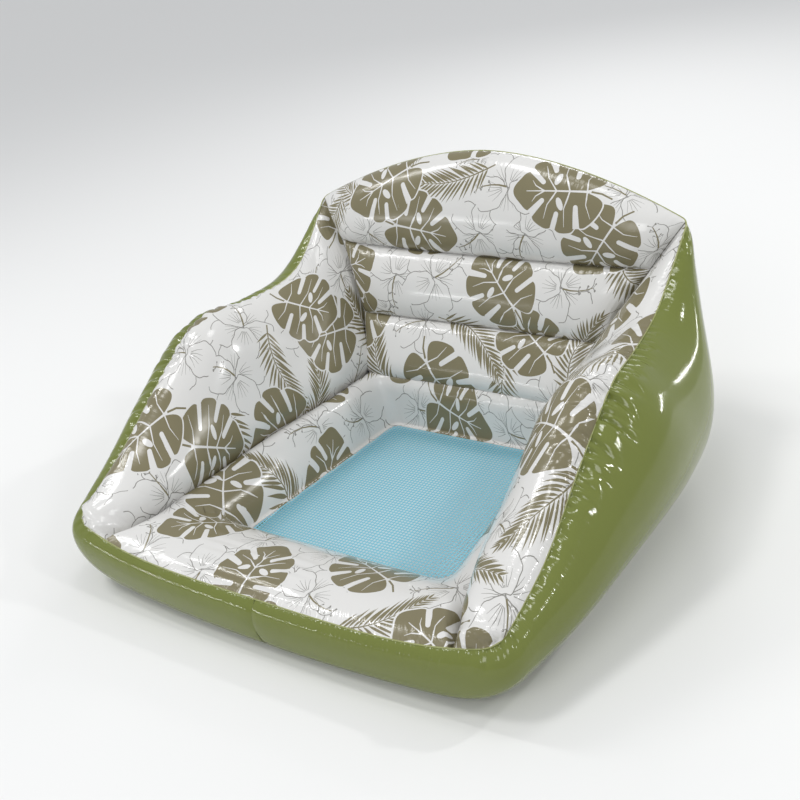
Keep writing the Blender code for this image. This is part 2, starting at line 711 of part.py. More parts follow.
def turned(name, outline, hollow, collection, material, parent):
    """Turned shape: an outline of radius and height pairs, swept round the local Z axis."""
    count = len(outline)
    edges = [(k, k + 1) for k in range(count - 1)]
    if hollow:
        edges.append((count - 1, 0))
    mesh = bpy.data.meshes.new(name)
    mesh.from_pydata([(radius, 0.0, height) for radius, height in outline], edges, [])
    obj = place(bpy.data.objects.new(name, mesh), collection, material, parent)
    spin = obj.modifiers.new("turn", "SCREW")
    spin.axis = "Z"
    spin.angle = 2 * math.pi
    spin.steps = TURN_STEPS
    spin.render_steps = TURN_STEPS
    spin.use_merge_vertices = True
    spin.merge_threshold = MERGE_DISTANCE
    return obj


def valve_seat(wrap, row, column, side):
    """Empty at the middle of one facet of the wrap, its Z axis out of the chair and its X axis down."""
    turn = np.array([side, 1.0, 1.0])
    corners = [wrap[row, column], wrap[row, column + 1],
               wrap[row + 1, column + 1], wrap[row + 1, column]]
    corners = [corner * turn for corner in corners]
    centre = sum(corners) / len(corners)
    normal = unit(np.cross(corners[2] - corners[0], corners[3] - corners[1]))
    normal = normal * np.sign(normal[1])
    down = unit(np.array([0.0, 0.0, -1.0]) + normal * normal[2])
    across = np.cross(normal, down)
    seat = bpy.data.objects.new("valve_seat", None)
    axes = Matrix((down, across, normal)).transposed().to_4x4()
    seat.matrix_world = Matrix.Translation(Vector(centre)) @ axes
    return seat


def cut_valve_hole(wrap_object, seat, cutters):
    """Round hole through the wrap for the valve's collar."""
    radius = VALVE_BORE + COLLAR_WALL + COLLAR_GAP
    bpy.ops.mesh.primitive_cylinder_add(vertices=TURN_STEPS, radius=radius, depth=2 * COLLAR_DEPTH)
    cutter = bpy.context.object
    cutter.name = wrap_object.name + "_valve_cutter"
    for other in list(cutter.users_collection):
        other.objects.unlink(cutter)
    cutters.objects.link(cutter)
    cutter.parent = seat
    cutter.hide_render = True
    cutter.display_type = "WIRE"
    cut = wrap_object.modifiers.new("valve_hole", "BOOLEAN")
    cut.operation = "DIFFERENCE"
    cut.object = cutter


def build_valve(name, seat, collection, parent, soft, clear):
    """Push-in valve: a welded flange with a collar, a stem that slides in it, a plug and its tether."""
    seat.name = name + "_seat"
    collection.objects.link(seat)
    seat.parent = parent
    flange_top = VALVE_LIFT + FLANGE_THICKNESS
    lip_low = flange_top + VALVE_GAP
    lip_top = lip_low + LIP_THICKNESS
    head_low = lip_top + VALVE_GAP
    head_top = head_low + HEAD_THICKNESS
    collar = VALVE_BORE + COLLAR_WALL
    turned(name + "_flange",
           [(VALVE_BORE, flange_top), (collar, flange_top), (FLANGE_RADIUS, VALVE_LIFT + SKIN),
            (FLANGE_RADIUS, VALVE_LIFT), (collar, VALVE_LIFT), (collar, -COLLAR_DEPTH),
            (VALVE_BORE, -COLLAR_DEPTH)],
           True, collection, soft, seat)
    turned(name + "_stem",
           [(STEM_BORE, lip_top), (LIP_RADIUS - VALVE_GAP, lip_top), (LIP_RADIUS, lip_top - VALVE_GAP),
            (LIP_RADIUS, lip_low), (STEM_RADIUS, lip_low), (STEM_RADIUS, -STEM_DEPTH),
            (STEM_BORE, -STEM_DEPTH)],
           True, collection, clear, seat)
    turned(name + "_plug",
           [(0.0, head_top), (HEAD_RADIUS * HEAD_FLAT_SHARE, head_top),
            (HEAD_RADIUS, (head_low + head_top) / 2), (HEAD_RADIUS, head_low),
            (PLUG_RADIUS, head_low), (PLUG_RADIUS, -PLUG_DEPTH), (0.0, -PLUG_DEPTH)],
           False, collection, clear, seat)

    start = np.array([LIP_RADIUS + VALVE_GAP, 0.0, (lip_low + lip_top) / 2])
    end = np.array([HEAD_RADIUS + VALVE_GAP, 0.0, (head_low + head_top) / 2])
    reach = np.array([TETHER_REACH, 0.0, 0.0])
    rise = np.array([0.0, 0.0, TETHER_RISE])
    shape = (start, start + reach, end + reach + rise, end)
    curve = bpy.data.curves.new(name + "_tether", "CURVE")
    curve.dimensions = "3D"
    curve.bevel_depth = TETHER_RADIUS
    curve.bevel_resolution = 2
    curve.use_fill_caps = True
    spline = curve.splines.new("POLY")
    spline.points.add(TETHER_STEPS)
    for k, point in enumerate(spline.points):
        point.co = (*bezier(shape, k / TETHER_STEPS), 1.0)
    place(bpy.data.objects.new(name + "_tether", curve), collection, clear, seat)


def centre_on_origin(chair, collection):
    """Shift the chair so that the middle of its box stands over the origin."""
    bpy.context.view_layer.update()
    graph = bpy.context.evaluated_depsgraph_get()
    reach = []
    for obj in collection.objects:
        if obj.type in ("MESH", "CURVE"):
            shape = obj.evaluated_get(graph).to_mesh()
            places = np.empty(len(shape.vertices) * 3)
            shape.vertices.foreach_get("co", places)
            world = np.array(obj.matrix_world)
            reach.append(places.reshape(-1, 3) @ world[1, :3] + world[1, 3])
    reach = np.concatenate(reach)
    chair.location.y = -(reach.min() + reach.max()) / 2
    bpy.context.view_layer.update()


def build_chair():
    remove_everything()
    scene = bpy.context.scene
    collection = bpy.data.collections.new("pool_chair")
    cutters = bpy.data.collections.new("cutters")
    scene.collection.children.link(collection)
    scene.collection.children.link(cutters)
    chair = bpy.data.objects.new("chair_origin", None)
    collection.objects.link(chair)
    vinyl = make_material("olive_vinyl", (0.20, 0.235, 0.085), 0.22)
    printed = make_material("printed_vinyl", (0.80, 0.79, 0.74), 0.28)
    plain = make_material("web_vinyl", (0.75, 0.75, 0.72), 0.4)
    net = make_material("net_fabric", (0.42, 0.66, 0.72), 0.6)
    soft = make_material("valve_vinyl", (0.82, 0.84, 0.82), 0.3)
    clear = make_material("valve_stem_vinyl", (0.86, 0.88, 0.87), 0.2)

    wrap = wrap_grid()
    build_panels(collection, chair, wrap, vinyl, printed)
    build_webs(collection, chair, wrap, plain)
    build_net(collection, chair, net, plain)
    for name, row, side, wrap_name in (("upper_valve", UPPER_VALVE_ROW, 1.0, "outer_wrap_right"),
                                       ("base_valve", BASE_VALVE_ROW, -1.0, "outer_wrap_left")):
        seat = valve_seat(wrap, row, VALVE_COLUMN, side)
        build_valve(name, seat, collection, chair, soft, clear)
        cut_valve_hole(bpy.data.objects[wrap_name], seat, cutters)
    centre_on_origin(chair, collection)


build_chair()
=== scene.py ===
"""Looks of the inflatable pool chair: welded vinyl film, a leaf print, a net seat and two valves.

The panels follow the CAD model's formulas in finer steps. The print is cut into the panels' own
faces, so it needs no picture: each motif is an outline laid on the flat cut of its panel.
"""
import math
import random
from collections import namedtuple

import bpy
import numpy as np
from mathutils import Matrix, Vector
from mathutils.bvhtree import BVHTree
from mathutils.geometry import delaunay_2d_cdt


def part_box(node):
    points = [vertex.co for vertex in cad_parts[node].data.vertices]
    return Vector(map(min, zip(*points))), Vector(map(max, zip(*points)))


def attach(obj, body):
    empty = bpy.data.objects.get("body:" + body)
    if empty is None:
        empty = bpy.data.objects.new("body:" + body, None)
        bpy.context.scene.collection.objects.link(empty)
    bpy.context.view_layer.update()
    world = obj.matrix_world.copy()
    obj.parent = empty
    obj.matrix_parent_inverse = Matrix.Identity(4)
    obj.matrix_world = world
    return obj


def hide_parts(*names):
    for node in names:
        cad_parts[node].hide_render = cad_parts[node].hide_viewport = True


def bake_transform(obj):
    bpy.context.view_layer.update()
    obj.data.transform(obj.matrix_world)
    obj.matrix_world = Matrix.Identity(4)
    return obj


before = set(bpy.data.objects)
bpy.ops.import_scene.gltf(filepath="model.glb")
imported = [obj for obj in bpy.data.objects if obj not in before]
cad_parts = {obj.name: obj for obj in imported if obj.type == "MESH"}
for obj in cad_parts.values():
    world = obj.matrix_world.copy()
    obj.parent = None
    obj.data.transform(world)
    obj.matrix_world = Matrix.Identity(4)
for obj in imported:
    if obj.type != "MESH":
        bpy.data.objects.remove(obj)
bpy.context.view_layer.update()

# Driving sizes, the same as the CAD model's: metres, shares of a size and powers of a curve.
RIM_HALF_WIDTH = 0.470
FRONT_CORNER_Y = -0.436
FRONT_CORNER_HEIGHT = 0.137
FRONT_BOW = 0.028
FRONT_DIP = 0.032
FRONT_POWER = 4
EAR_Y = 0.414
EAR_HEIGHT = 0.467
ARCH_BOW = 0.022
ARCH_RISE = 0.114
ARCH_POWER = 1.8
CORNER_TRIM = 0.030
EAR_TRIM = 0.012
ARM_WIDTH_SHARES = (1.0, 1.014, 1.010, 1.0, 0.948, 0.912, 0.920)
ARM_HEIGHT_SHARES = (0.293, 0.418, 0.606, 0.762, 0.737, 0.766, 1.0)
BULGE_FRONT_REACH = 0.038
BULGE_FRONT_BOW = 0.018
BULGE_FRONT_RADIUS = 0.056
BULGE_SIDE_REACH = 0.150
BULGE_WIDTH_SHARES = (0.851, 0.930, 0.981, 1.015, 1.002, 0.951, 0.775)
BULGE_SIDE_END = 0.034
BULGE_EAR_REACH = 0.0076
BULGE_CORNER_REACH = 0.024
BULGE_BACK_REACH = 0.086
BULGE_TOP_SHARE = 0.910
FOOT_FRONT_INSET = 0.004
FOOT_FRONT_BOW = 0.014
FOOT_FRONT_RADIUS = 0.070
FOOT_HALF_WIDTH = 0.304
FOOT_WIDTH_SHARES = (1.0, 1.0, 1.0, 1.0, 1.0, 0.99, 0.95)
FOOT_SIDE_END = 0.104
FOOT_BACK_HALF_WIDTH = 0.240
FOOT_CORNER_INSET = 0.042
FOOT_BACK_INSET = 0.009
BACK_CURVE_POWER = 2.5
TANGENT_SHARE = 0.01
NET_LEVEL = 0.031
NET_FRONT_Y = -0.230
NET_BACK_Y = 0.205
NET_FRONT_HALF_WIDTH = 0.236
NET_BACK_HALF_WIDTH = 0.184
WINDOW_RADIUS = 0.018
CREASE_START_SETBACK = 0.012
CREASE_START_DROP = 0.012
CREASE_WIDTH_SHARES = (0.80, 0.762, 0.72, 0.66, 0.59, 0.545)
CREASE_LEVEL_SHARES = (0.76, 0.78, 0.84, 0.92, 0.98, 1.0)
SEAT_BACK_DEPTH = 0.033
SEAT_CORNER_LEVEL = 0.122
SEAT_BACK_BOW = 0.020
SIDE_CREASE_WIDTH_SHARES = (0.92, 0.775, 0.66, 0.585, 0.545)
SEAT_CROWN = 0.060
ARM_CROWN = 0.075
WELD_HEIGHTS = (0.248, 0.383)
ROLL_CROWNS = (0.034, 0.032, 0.046)
ARM_SPAN = 0.290
ARM_CROWN_POWER = 6
ARM_SHOULDER_SHARE = 0.20
ARM_BELLY_SHARE = 0.08
ARM_WALL_SHARE = 0.62
ARM_BACK_POWER = 4
SIDE_PULL_POWER = 4
ROLL_END_POWER = 6
SEAT_STEEP_SHARE = 0.06
SEAT_FLAT_SHARE = 0.33
SEAT_EDGE_SHARE = 0.75
BASE_FLAT_SHARE = 0.55
BASE_LIFT_SHARE = 0.85
BASE_RISE_SHARE = 0.30
SKIN = 0.00045
SHEET_STEP = 0.00035
FLANGE = 0.010
NET_THICKNESS = 0.0008
NET_BORDER_SHARE = 0.85

# The crease between arm and seat starts nearer the middle than in the CAD, as in the photograph.
CREASE_START_SHARE = 0.82
CREASE_CLOSED_SHARE = 0.04    # of the arm's run, over which its section grows from flat to full

Outline = namedtuple("Outline", "front_y front_bow front_radius half_width width_shares "
                                "side_back_y back_half_width back_corner_y back_y")
BULGE = Outline(FRONT_CORNER_Y - BULGE_FRONT_REACH, BULGE_FRONT_BOW, BULGE_FRONT_RADIUS,
                RIM_HALF_WIDTH + BULGE_SIDE_REACH, BULGE_WIDTH_SHARES, EAR_Y - BULGE_SIDE_END,
                RIM_HALF_WIDTH * ARM_WIDTH_SHARES[-1] + BULGE_EAR_REACH,
                EAR_Y + BULGE_CORNER_REACH, EAR_Y + BULGE_BACK_REACH)
FOOT = Outline(FRONT_CORNER_Y + FOOT_FRONT_INSET, FOOT_FRONT_BOW, FOOT_FRONT_RADIUS,
               FOOT_HALF_WIDTH, FOOT_WIDTH_SHARES, EAR_Y - FOOT_SIDE_END,
               FOOT_BACK_HALF_WIDTH, EAR_Y - FOOT_CORNER_INSET, EAR_Y - FOOT_BACK_INSET)
UP = np.array([0.0, 0.0, 1.0])
FORWARD = np.array([0.0, -1.0, 0.0])
LEVEL = np.array([1.0, 1.0, 0.0])
SIDES = {"right": np.array([1.0, 1.0, 1.0]), "left": np.array([-1.0, 1.0, 1.0])}
MIRROR = SIDES["left"]

# The CAD model's own steps, which its valves, its divider and its seat ring are laid out by.
CAD_WRAP_STEPS = 8
CAD_ARM_STEPS = 10
CAD_EAR_STEPS = 4
CAD_ARCH_STEPS = 7
CAD_FRONT_STEPS = 5
CAD_DIVIDER_ROW = 5

# How finely the panels are laid out here, and how many columns their evening out spans.
FRONT_STEPS = 110
EDGE_STEPS = 20
CORNER_STEPS = 30
ARM_STEPS = 300
EAR_STEPS = 24
ARCH_STEPS = 150
WRAP_ROWS = 70
WRAP_CROWDING = 1.35
ARM_ROWS = 110
ROLL_ROWS = 34
SEAT_ROWS = 46
SEAT_SUBSTEPS = 12
BASE_ROWS = 12
BASE_COLUMN_STEP = 3
WRAP_EVENNESS = 7
SEAT_EVENNESS = 8
SEAT_EDGE_EVENNESS = 20
BELL_WIDTHS = 3


# Formulas of the panels
def curve_through(values, at):
    """Smooth line through evenly spaced values; at runs from 0 to 1."""
    values = np.asarray(values, dtype=float)
    last = len(values) - 1
    ends = np.concatenate([[2 * values[0] - values[1]], values, [2 * values[-1] - values[-2]]])
    place = np.clip(np.asarray(at, dtype=float) * last, 0, last)
    step = np.minimum(place.astype(int), last - 1)
    t = place - step
    a, b, c, d = (ends[step + k] for k in range(4))
    return 0.5 * (2 * b + (c - a) * t + (2 * a - 5 * b + 4 * c - d) * t ** 2
                  + (3 * b - a - 3 * c + d) * t ** 3)


def bezier(points, t):
    a, b, c, d = points
    s = 1 - t
    return a * s ** 3 + 3 * b * t * s ** 2 + 3 * c * t ** 2 * s + d * t ** 3


def bend(start, corner, end, t):
    s = 1 - t
    return start * s ** 2 + 2 * corner * t * s + end * t ** 2


def unit(vector):
    return vector / np.linalg.norm(vector)


def units(vectors):
    return vectors / np.linalg.norm(vectors, axis=-1, keepdims=True)


def smooth(x, low, high):
    """Soft step from 0 at low to 1 at high."""
    t = np.clip((x - low) / (high - low), 0, 1)
    return t * t * (3 - 2 * t)


def even_shares(count):
    return np.arange(count + 1) / count


def eased_shares(count):
    """Shares from 0 to 1 that lie close together at both ends."""
    return (1 - np.cos(np.pi * even_shares(count))) / 2


def lengths_down(grid):
    """Length along each column from its first row."""
    steps = np.linalg.norm(np.diff(grid, axis=0), axis=2)
    return np.concatenate([np.zeros((1, grid.shape[1])), np.cumsum(steps, axis=0)])


def lengths_across(grid):
    """Length along each row from its first column."""
    return lengths_down(grid.transpose(1, 0, 2)).T


def run_of(line):
    """Length along a line from its first point."""
    return lengths_down(line[:, None])[:, 0]


def at_length(length, run, line):
    """Point of a line at a length along it, or one at each of several lengths."""
    return np.stack([np.interp(length, run, line[:, axis]) for axis in range(3)], -1)


def front_rim(share):
    fall = 1 - abs(share) ** FRONT_POWER
    return np.array([RIM_HALF_WIDTH * share, FRONT_CORNER_Y - FRONT_BOW * fall,
                     FRONT_CORNER_HEIGHT - FRONT_DIP * fall])


def arm_rim(share):
    y = FRONT_CORNER_Y + (EAR_Y - FRONT_CORNER_Y) * share
    return np.array([RIM_HALF_WIDTH * curve_through(ARM_WIDTH_SHARES, share), y,
                     EAR_HEIGHT * curve_through(ARM_HEIGHT_SHARES, share)])


def arch_rim(share):
    width = RIM_HALF_WIDTH * ARM_WIDTH_SHARES[-1]
    fall = 1 - abs(share) ** ARCH_POWER
    return np.array([width * share, EAR_Y + ARCH_BOW * fall, EAR_HEIGHT + ARCH_RISE * fall])


def rim_point(section, share):
    front_trim = CORNER_TRIM / RIM_HALF_WIDTH
    arm_length = EAR_Y - FRONT_CORNER_Y
    arm_start = CORNER_TRIM / arm_length
    arm_end = 1 - EAR_TRIM / arm_length
    arch_end = 1 - EAR_TRIM / (RIM_HALF_WIDTH * ARM_WIDTH_SHARES[-1])
    if section == "front":
        return front_rim(share)
    if section == "edge":
        return front_rim(CREASE_START_SHARE + (1 - front_trim - CREASE_START_SHARE) * share)
    if section == "corner":
        return bend(front_rim(1 - front_trim), front_rim(1), arm_rim(arm_start), share)
    if section == "arm":
        return arm_rim(arm_start + (arm_end - arm_start) * share)
    if section == "ear":
        return bend(arm_rim(arm_end), arm_rim(1), arch_rim(arch_end), share)
    return arch_rim(arch_end * share)


def side_line(outline, share):
    low = outline.front_y + outline.front_radius
    y = low + (outline.side_back_y - low) * share
    return np.array([outline.half_width * curve_through(outline.width_shares, share), y])


def back_line(outline, share):
    fall = outline.back_y - outline.back_corner_y
    return np.array([outline.back_half_width * share,
                     outline.back_y - fall * share ** BACK_CURVE_POWER])


def meeting_point(start, start_way, end, end_way):
    reach = np.linalg.solve(np.array([start_way, end_way]).T, end - start)[0]
    return start + reach * start_way


def plan_point(section, share, outline):
    """Place on the ground plan of an outline, which every section of the rim has its share of."""
    radius = outline.front_radius
    wide = outline.half_width * outline.width_shares[0]
    if section == "edge":
        section, share = "front", CREASE_START_SHARE + (1 - CREASE_START_SHARE) * share
    if section == "front":
        bow = outline.front_bow * (1 - share ** 2)
        return np.array([(wide - radius) * share, outline.front_y - bow])
    if section == "corner":
        turn = math.pi / 2 * (share - 1)
        centre = np.array([wide - radius, outline.front_y + radius])
        return centre + radius * np.array([math.cos(turn), math.sin(turn)])
    if section == "arm":
        return side_line(outline, share)
    if section == "ear":
        start, end = side_line(outline, 1), back_line(outline, 1)
        start_way = start - side_line(outline, 1 - TANGENT_SHARE)
        end_way = end - back_line(outline, 1 - TANGENT_SHARE)
        return bend(start, meeting_point(start, start_way, end, end_way), end, share)
    return back_line(outline, share)


# Section name and share of each place round the right half, from front middle to back middle.
PLACES = [("front", CREASE_START_SHARE * k / FRONT_STEPS) for k in range(FRONT_STEPS)]
PLACES += [(section, k / count) for section, count in (
    ("edge", EDGE_STEPS), ("corner", CORNER_STEPS), ("arm", ARM_STEPS), ("ear", EAR_STEPS))
    for k in range(count)]
PLACES += [("arch", 1 - k / ARCH_STEPS) for k in range(ARCH_STEPS + 1)]
EAR_COLUMN = FRONT_STEPS + EDGE_STEPS + CORNER_STEPS + ARM_STEPS + EAR_STEPS // 2
RIM = np.array([rim_point(*place) for place in PLACES])
RUN = run_of(RIM)


def wrap_shape(section, share):
    """Shaping points of a column of the outer wrap, from the rim down to the ground."""
    rim = rim_point(section, share)
    bulge = plan_point(section, share, BULGE)
    foot = plan_point(section, share, FOOT)
    return (rim, np.array([*bulge, rim[2] * BULGE_TOP_SHARE]), np.array([*bulge, 0.0]),
            np.array([*foot, 0.0]))


def arm_crease(share):
    start = front_rim(CREASE_START_SHARE)
    start = start + np.array([0.0, CREASE_START_SETBACK, -CREASE_START_DROP])
    y = start[1] + (NET_BACK_Y + SEAT_BACK_DEPTH - start[1]) * share
    widths = (start[0] / RIM_HALF_WIDTH,) + CREASE_WIDTH_SHARES[1:]
    levels = (start[2] / SEAT_CORNER_LEVEL,) + CREASE_LEVEL_SHARES[1:]
    return np.array([RIM_HALF_WIDTH * curve_through(widths, share), y,
                     SEAT_CORNER_LEVEL * curve_through(levels, share)])


EAR_TIP = rim_point("ear", 0.5)
SEAT_CORNER = arm_crease(1)


def back_crease(share):
    bow = np.array([0, SEAT_BACK_BOW * (1 - share ** 2), 0])
    return SEAT_CORNER * np.array([share, 1, 1]) + bow


def side_crease(share):
    line = EAR_TIP + (SEAT_CORNER - EAR_TIP) * share
    widths = ((EAR_TIP[0] / RIM_HALF_WIDTH,) + SIDE_CREASE_WIDTH_SHARES[1:-1]
              + (SEAT_CORNER[0] / RIM_HALF_WIDTH,))
    return np.array([RIM_HALF_WIDTH * curve_through(widths, share), line[1], line[2]])


def row_shares(top, low):
    """Places of the backrest's rows: close together at each weld, where the rolls turn sharply."""
    drop = top[2] - low[2]
    marks = [0.0] + [(top[2] - height) / drop for height in reversed(WELD_HEIGHTS)] + [1.0]
    steps = eased_shares(ROLL_ROWS)[:-1]
    rows = [mark + (after - mark) * steps for mark, after in zip(marks, marks[1:])]
    return np.concatenate(rows + [[1.0]])


def grid_normals(grid, way=None, ring=False):
    """Unit normals of a grid of points, all turned to the side that way points to."""
    if ring:
        grid = np.concatenate([grid[:, -1:], grid, grid[:, :1]], axis=1)
    normals = np.cross(np.gradient(grid, axis=0), np.gradient(grid, axis=1))
    if ring:
        normals = normals[:, 1:-1]
    normals = normals / np.maximum(np.linalg.norm(normals, axis=2, keepdims=True), 1e-12)
    return normals if way is None else normals * np.sign((normals * way).sum())


def bell_of(width):
    """Weights of a bell of the given width in columns."""
    reach = BELL_WIDTHS * width
    bell = np.exp(-0.5 * (np.arange(-reach, reach + 1) / width) ** 2)
    return bell / bell.sum(), reach


def softened(grid, width, hold_first, hold_last):
    """Grid evened out along its rows by a bell of a width in columns, but held at its edge rows."""
    bell, reach = bell_of(width)
    before = (grid[:, 1:reach + 1] * MIRROR)[:, ::-1]
    after = (grid[:, -reach - 1:-1] * MIRROR)[:, ::-1]
    wide = np.concatenate([before, grid, after], axis=1)
    even = sum(weight * wide[:, k:k + grid.shape[1]] for k, weight in enumerate(bell))
    rows = even_shares(len(grid) - 1)
    weight = smooth(rows, 0, hold_first) * smooth(1 - rows, 0, hold_last)
    return grid + (even - grid) * weight[:, None, None]


def wrap_grid():
    """Right half of the outer wrap: rows from the rim to the ground, columns from front to back."""
    rows = even_shares(WRAP_ROWS) ** WRAP_CROWDING
    grid = np.array([bezier(wrap_shape(*place), rows[:, None]) for place in PLACES])
    return softened(grid.transpose(1, 0, 2), WRAP_EVENNESS, hold_first=0.25, hold_last=0.3)


def arm_grid():
    """Right arm's panel: rows from the rim down to the seat crease, columns front to back."""
    run = RUN[FRONT_STEPS:EAR_COLUMN + 1]
    shares = (run - run[0]) / (run[-1] - run[0])
    rows = (0.5 * eased_shares(ARM_ROWS) + 0.5 * even_shares(ARM_ROWS))[:, None]
    side = np.array([side_crease(row) for row in rows[:, 0]])
    chord = EAR_TIP + (SEAT_CORNER - EAR_TIP) * rows
    columns = []
    for top, share in zip(RIM[FRONT_STEPS:EAR_COLUMN + 1], shares):
        low = arm_crease(share)
        inward = unit((low - top) * LEVEL)
        span = np.linalg.norm(low - top)
        crown = ARM_CROWN / ARM_SPAN * span * (1 - share ** ARM_CROWN_POWER)
        upper = top + inward * ARM_SHOULDER_SHARE * span + UP * crown
        lower = low + inward * ARM_BELLY_SHARE * span + UP * ARM_WALL_SHARE * span
        curved = bezier((top, upper, lower, low), rows)
        straight = top + (low - top) * rows
        blend = share ** ARM_BACK_POWER
        column = curved * (1 - blend) + blend * (straight + side - chord)
        columns.append(straight + (column - straight) * smooth(share, 0, CREASE_CLOSED_SHARE))
    return np.array(columns).transpose(1, 0, 2)


def backrest_grid():
    """Right half of the backrest: rows from the arch down, columns from the middle to the ear."""
    pulls = np.array([side_crease(row) - EAR_TIP - (SEAT_CORNER - EAR_TIP) * row
                      for row in row_shares(EAR_TIP, SEAT_CORNER)])
    run = RUN[-1] - RUN[EAR_COLUMN:][::-1]
    shares = run / run[-1]
    columns = []
    for top, share in zip(RIM[EAR_COLUMN:][::-1], shares):
        low = back_crease(share)
        rows = row_shares(top, low)[:, None]
        columns.append(top + (low - top) * rows + pulls * share ** SIDE_PULL_POWER)
    grid = np.array(columns).transpose(1, 0, 2)
    normals = grid_normals(grid, FORWARD)
    fullness = np.sqrt(1 - shares ** ROLL_END_POWER)
    arc = np.sin(np.pi * even_shares(ROLL_ROWS)[:-1])
    for roll, crown in enumerate(reversed(ROLL_CROWNS)):
        rows = slice(roll * ROLL_ROWS, (roll + 1) * ROLL_ROWS)
        grid[rows] += normals[rows] * (crown * arc[:, None] * fullness)[:, :, None]
    return grid


def window_point(section, share, offset, level):
    """Place round the right half of the net's window, set out from it by an offset."""
    radius = WINDOW_RADIUS + offset
    front = np.array([NET_FRONT_HALF_WIDTH + offset, NET_FRONT_Y - offset])
    back = np.array([NET_BACK_HALF_WIDTH + offset, NET_BACK_Y + offset])
    inset = np.array([radius, 0])
    side = unit(back - front)
    if section == "front":
        flat = np.array([(front[0] - radius) * share, front[1]])
    elif section == "front_corner":
        flat = bend(front - inset, front, front + side * radius, share)
    elif section == "side":
        flat = front + side * radius + (back - front - 2 * side * radius) * share
    elif section == "back_corner":
        flat = bend(back - side * radius, back, back - inset, share)
    else:
        flat = np.array([(back[0] - radius) * (1 - share), back[1]])
    return np.array([*flat, level])


def seat_pairs():
    """Outer edge and window place of each column of the seat ring's right half, front to back."""
    marks = [("edge", 0.0), ("corner", 0.0), ("corner", 1 / 3), ("corner", 2 / 3)]
    marks += [("arm", k / CAD_ARM_STEPS) for k in range(CAD_ARM_STEPS)]
    marks += [("ear", k / CAD_EAR_STEPS) for k in range(CAD_EAR_STEPS // 2 + 1)]
    run = run_of(np.array([rim_point(*mark) for mark in marks]))
    run /= run[-1]
    front, arm, back = CAD_FRONT_STEPS, len(marks), CAD_EAR_STEPS // 2 + CAD_ARCH_STEPS
    side_first, side_last = front + 2, front + arm - 1
    crease_start = front_rim(CREASE_START_SHARE)
    pairs = []
    for k in range((front + arm + back) * SEAT_SUBSTEPS + 1):
        i = k / SEAT_SUBSTEPS
        if i <= front:
            outer = front_rim(CREASE_START_SHARE * i / front)
        elif i < front + 1:
            outer = crease_start + (arm_crease(0) - crease_start) * (i - front)
        elif i <= side_last + 1:
            outer = arm_crease(np.interp(i - front - 1, range(arm), run))
        else:
            outer = back_crease(1 - (i - side_last - 1) / back)
        if i <= front:
            inner = ("front", i / front)
        elif i <= side_first:
            inner = ("front_corner", (i - front) / 2)
        elif i <= side_last:
            inner = ("side", (i - side_first) / (side_last - side_first))
        elif i <= side_last + 2:
            inner = ("back_corner", (i - side_last) / 2)
        else:
            inner = ("back", (i - side_last - 2) / (back - 1))
        pairs.append((outer, inner))
    return pairs


def spread_along(line, width, corners):
    """Points of a line moved along it to lie more evenly, with one left on each corner."""
    run = run_of(line)
    bell, reach = bell_of(width)
    wide = np.concatenate([-run[reach:0:-1], run, 2 * run[-1] - run[-2:-reach - 2:-1]])
    even = np.convolve(wide, bell, "valid")
    for corner in corners:
        at = run[np.linalg.norm(line - corner, axis=1).argmin()]
        even[np.abs(even - at).argmin()] = at
    return at_length(even, run, line)


def seat_grid():
    """Right half of the seat ring: rows from the window out, columns from front to back."""
    level = NET_LEVEL + SHEET_STEP + SKIN
    rows = even_shares(SEAT_ROWS)[:, None]
    pairs = seat_pairs()
    corners = (front_rim(CREASE_START_SHARE), arm_crease(0), SEAT_CORNER)
    edges = spread_along(np.array([edge for edge, _ in pairs]), SEAT_EDGE_EVENNESS, corners)
    columns = []
    for edge, (_, place) in zip(edges, pairs):
        lip = window_point(*place, 0.0, level)
        start = window_point(*place, FLANGE, level)
        outward = (edge - start) * LEVEL
        upper = start + outward * SEAT_STEEP_SHARE + UP * SEAT_CROWN
        lower = edge - outward * SEAT_FLAT_SHARE + UP * SEAT_CROWN * SEAT_EDGE_SHARE
        flat = [lip, (lip + start) / 2]
        columns.append(np.concatenate([flat, bezier((start, upper, lower, edge), rows)]))
    grid = np.array(columns).transpose(1, 0, 2)
    return softened(grid, SEAT_EVENNESS, hold_first=0.35, hold_last=0.2)


def base_grid():
    """Right half of the base panel: rows from the ground outline in to the window."""
    level = NET_LEVEL - NET_THICKNESS - 2 * SHEET_STEP - 2 * SKIN
    spots = [(section, k / count) for section, count in (
        ("front", FRONT_STEPS + EDGE_STEPS), ("front_corner", CORNER_STEPS), ("side", ARM_STEPS),
        ("back_corner", EAR_STEPS), ("back", ARCH_STEPS)) for k in range(count)]
    rows = even_shares(BASE_ROWS)[:, None]
    columns = []
    for place, spot in zip(PLACES, spots + [("back", 1.0)]):
        foot = wrap_shape(*place)[3]
        lip = window_point(*spot, 0.0, level)
        start = window_point(*spot, FLANGE, level)
        ground = start * LEVEL
        flat = foot + (ground - foot) * BASE_FLAT_SHARE
        lifted = foot + (ground - foot) * BASE_LIFT_SHARE + (start - ground) * BASE_RISE_SHARE
        columns.append(np.concatenate([[foot], bezier((flat, lifted, lifted, start), rows), [lip]]))
    return np.array(columns).transpose(1, 0, 2)


def joined(half):
    """Both halves of a panel, from its right one."""
    return np.concatenate([(half[:, ::-1] * MIRROR)[:, :-1], half], axis=1)


NET_MIDDLE = sum(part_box("seat_net")[k][1] for k in (0, 1)) / 2
SHIFT = np.array([0.0, NET_MIDDLE - (NET_FRONT_Y + NET_BACK_Y) / 2, 0.0])

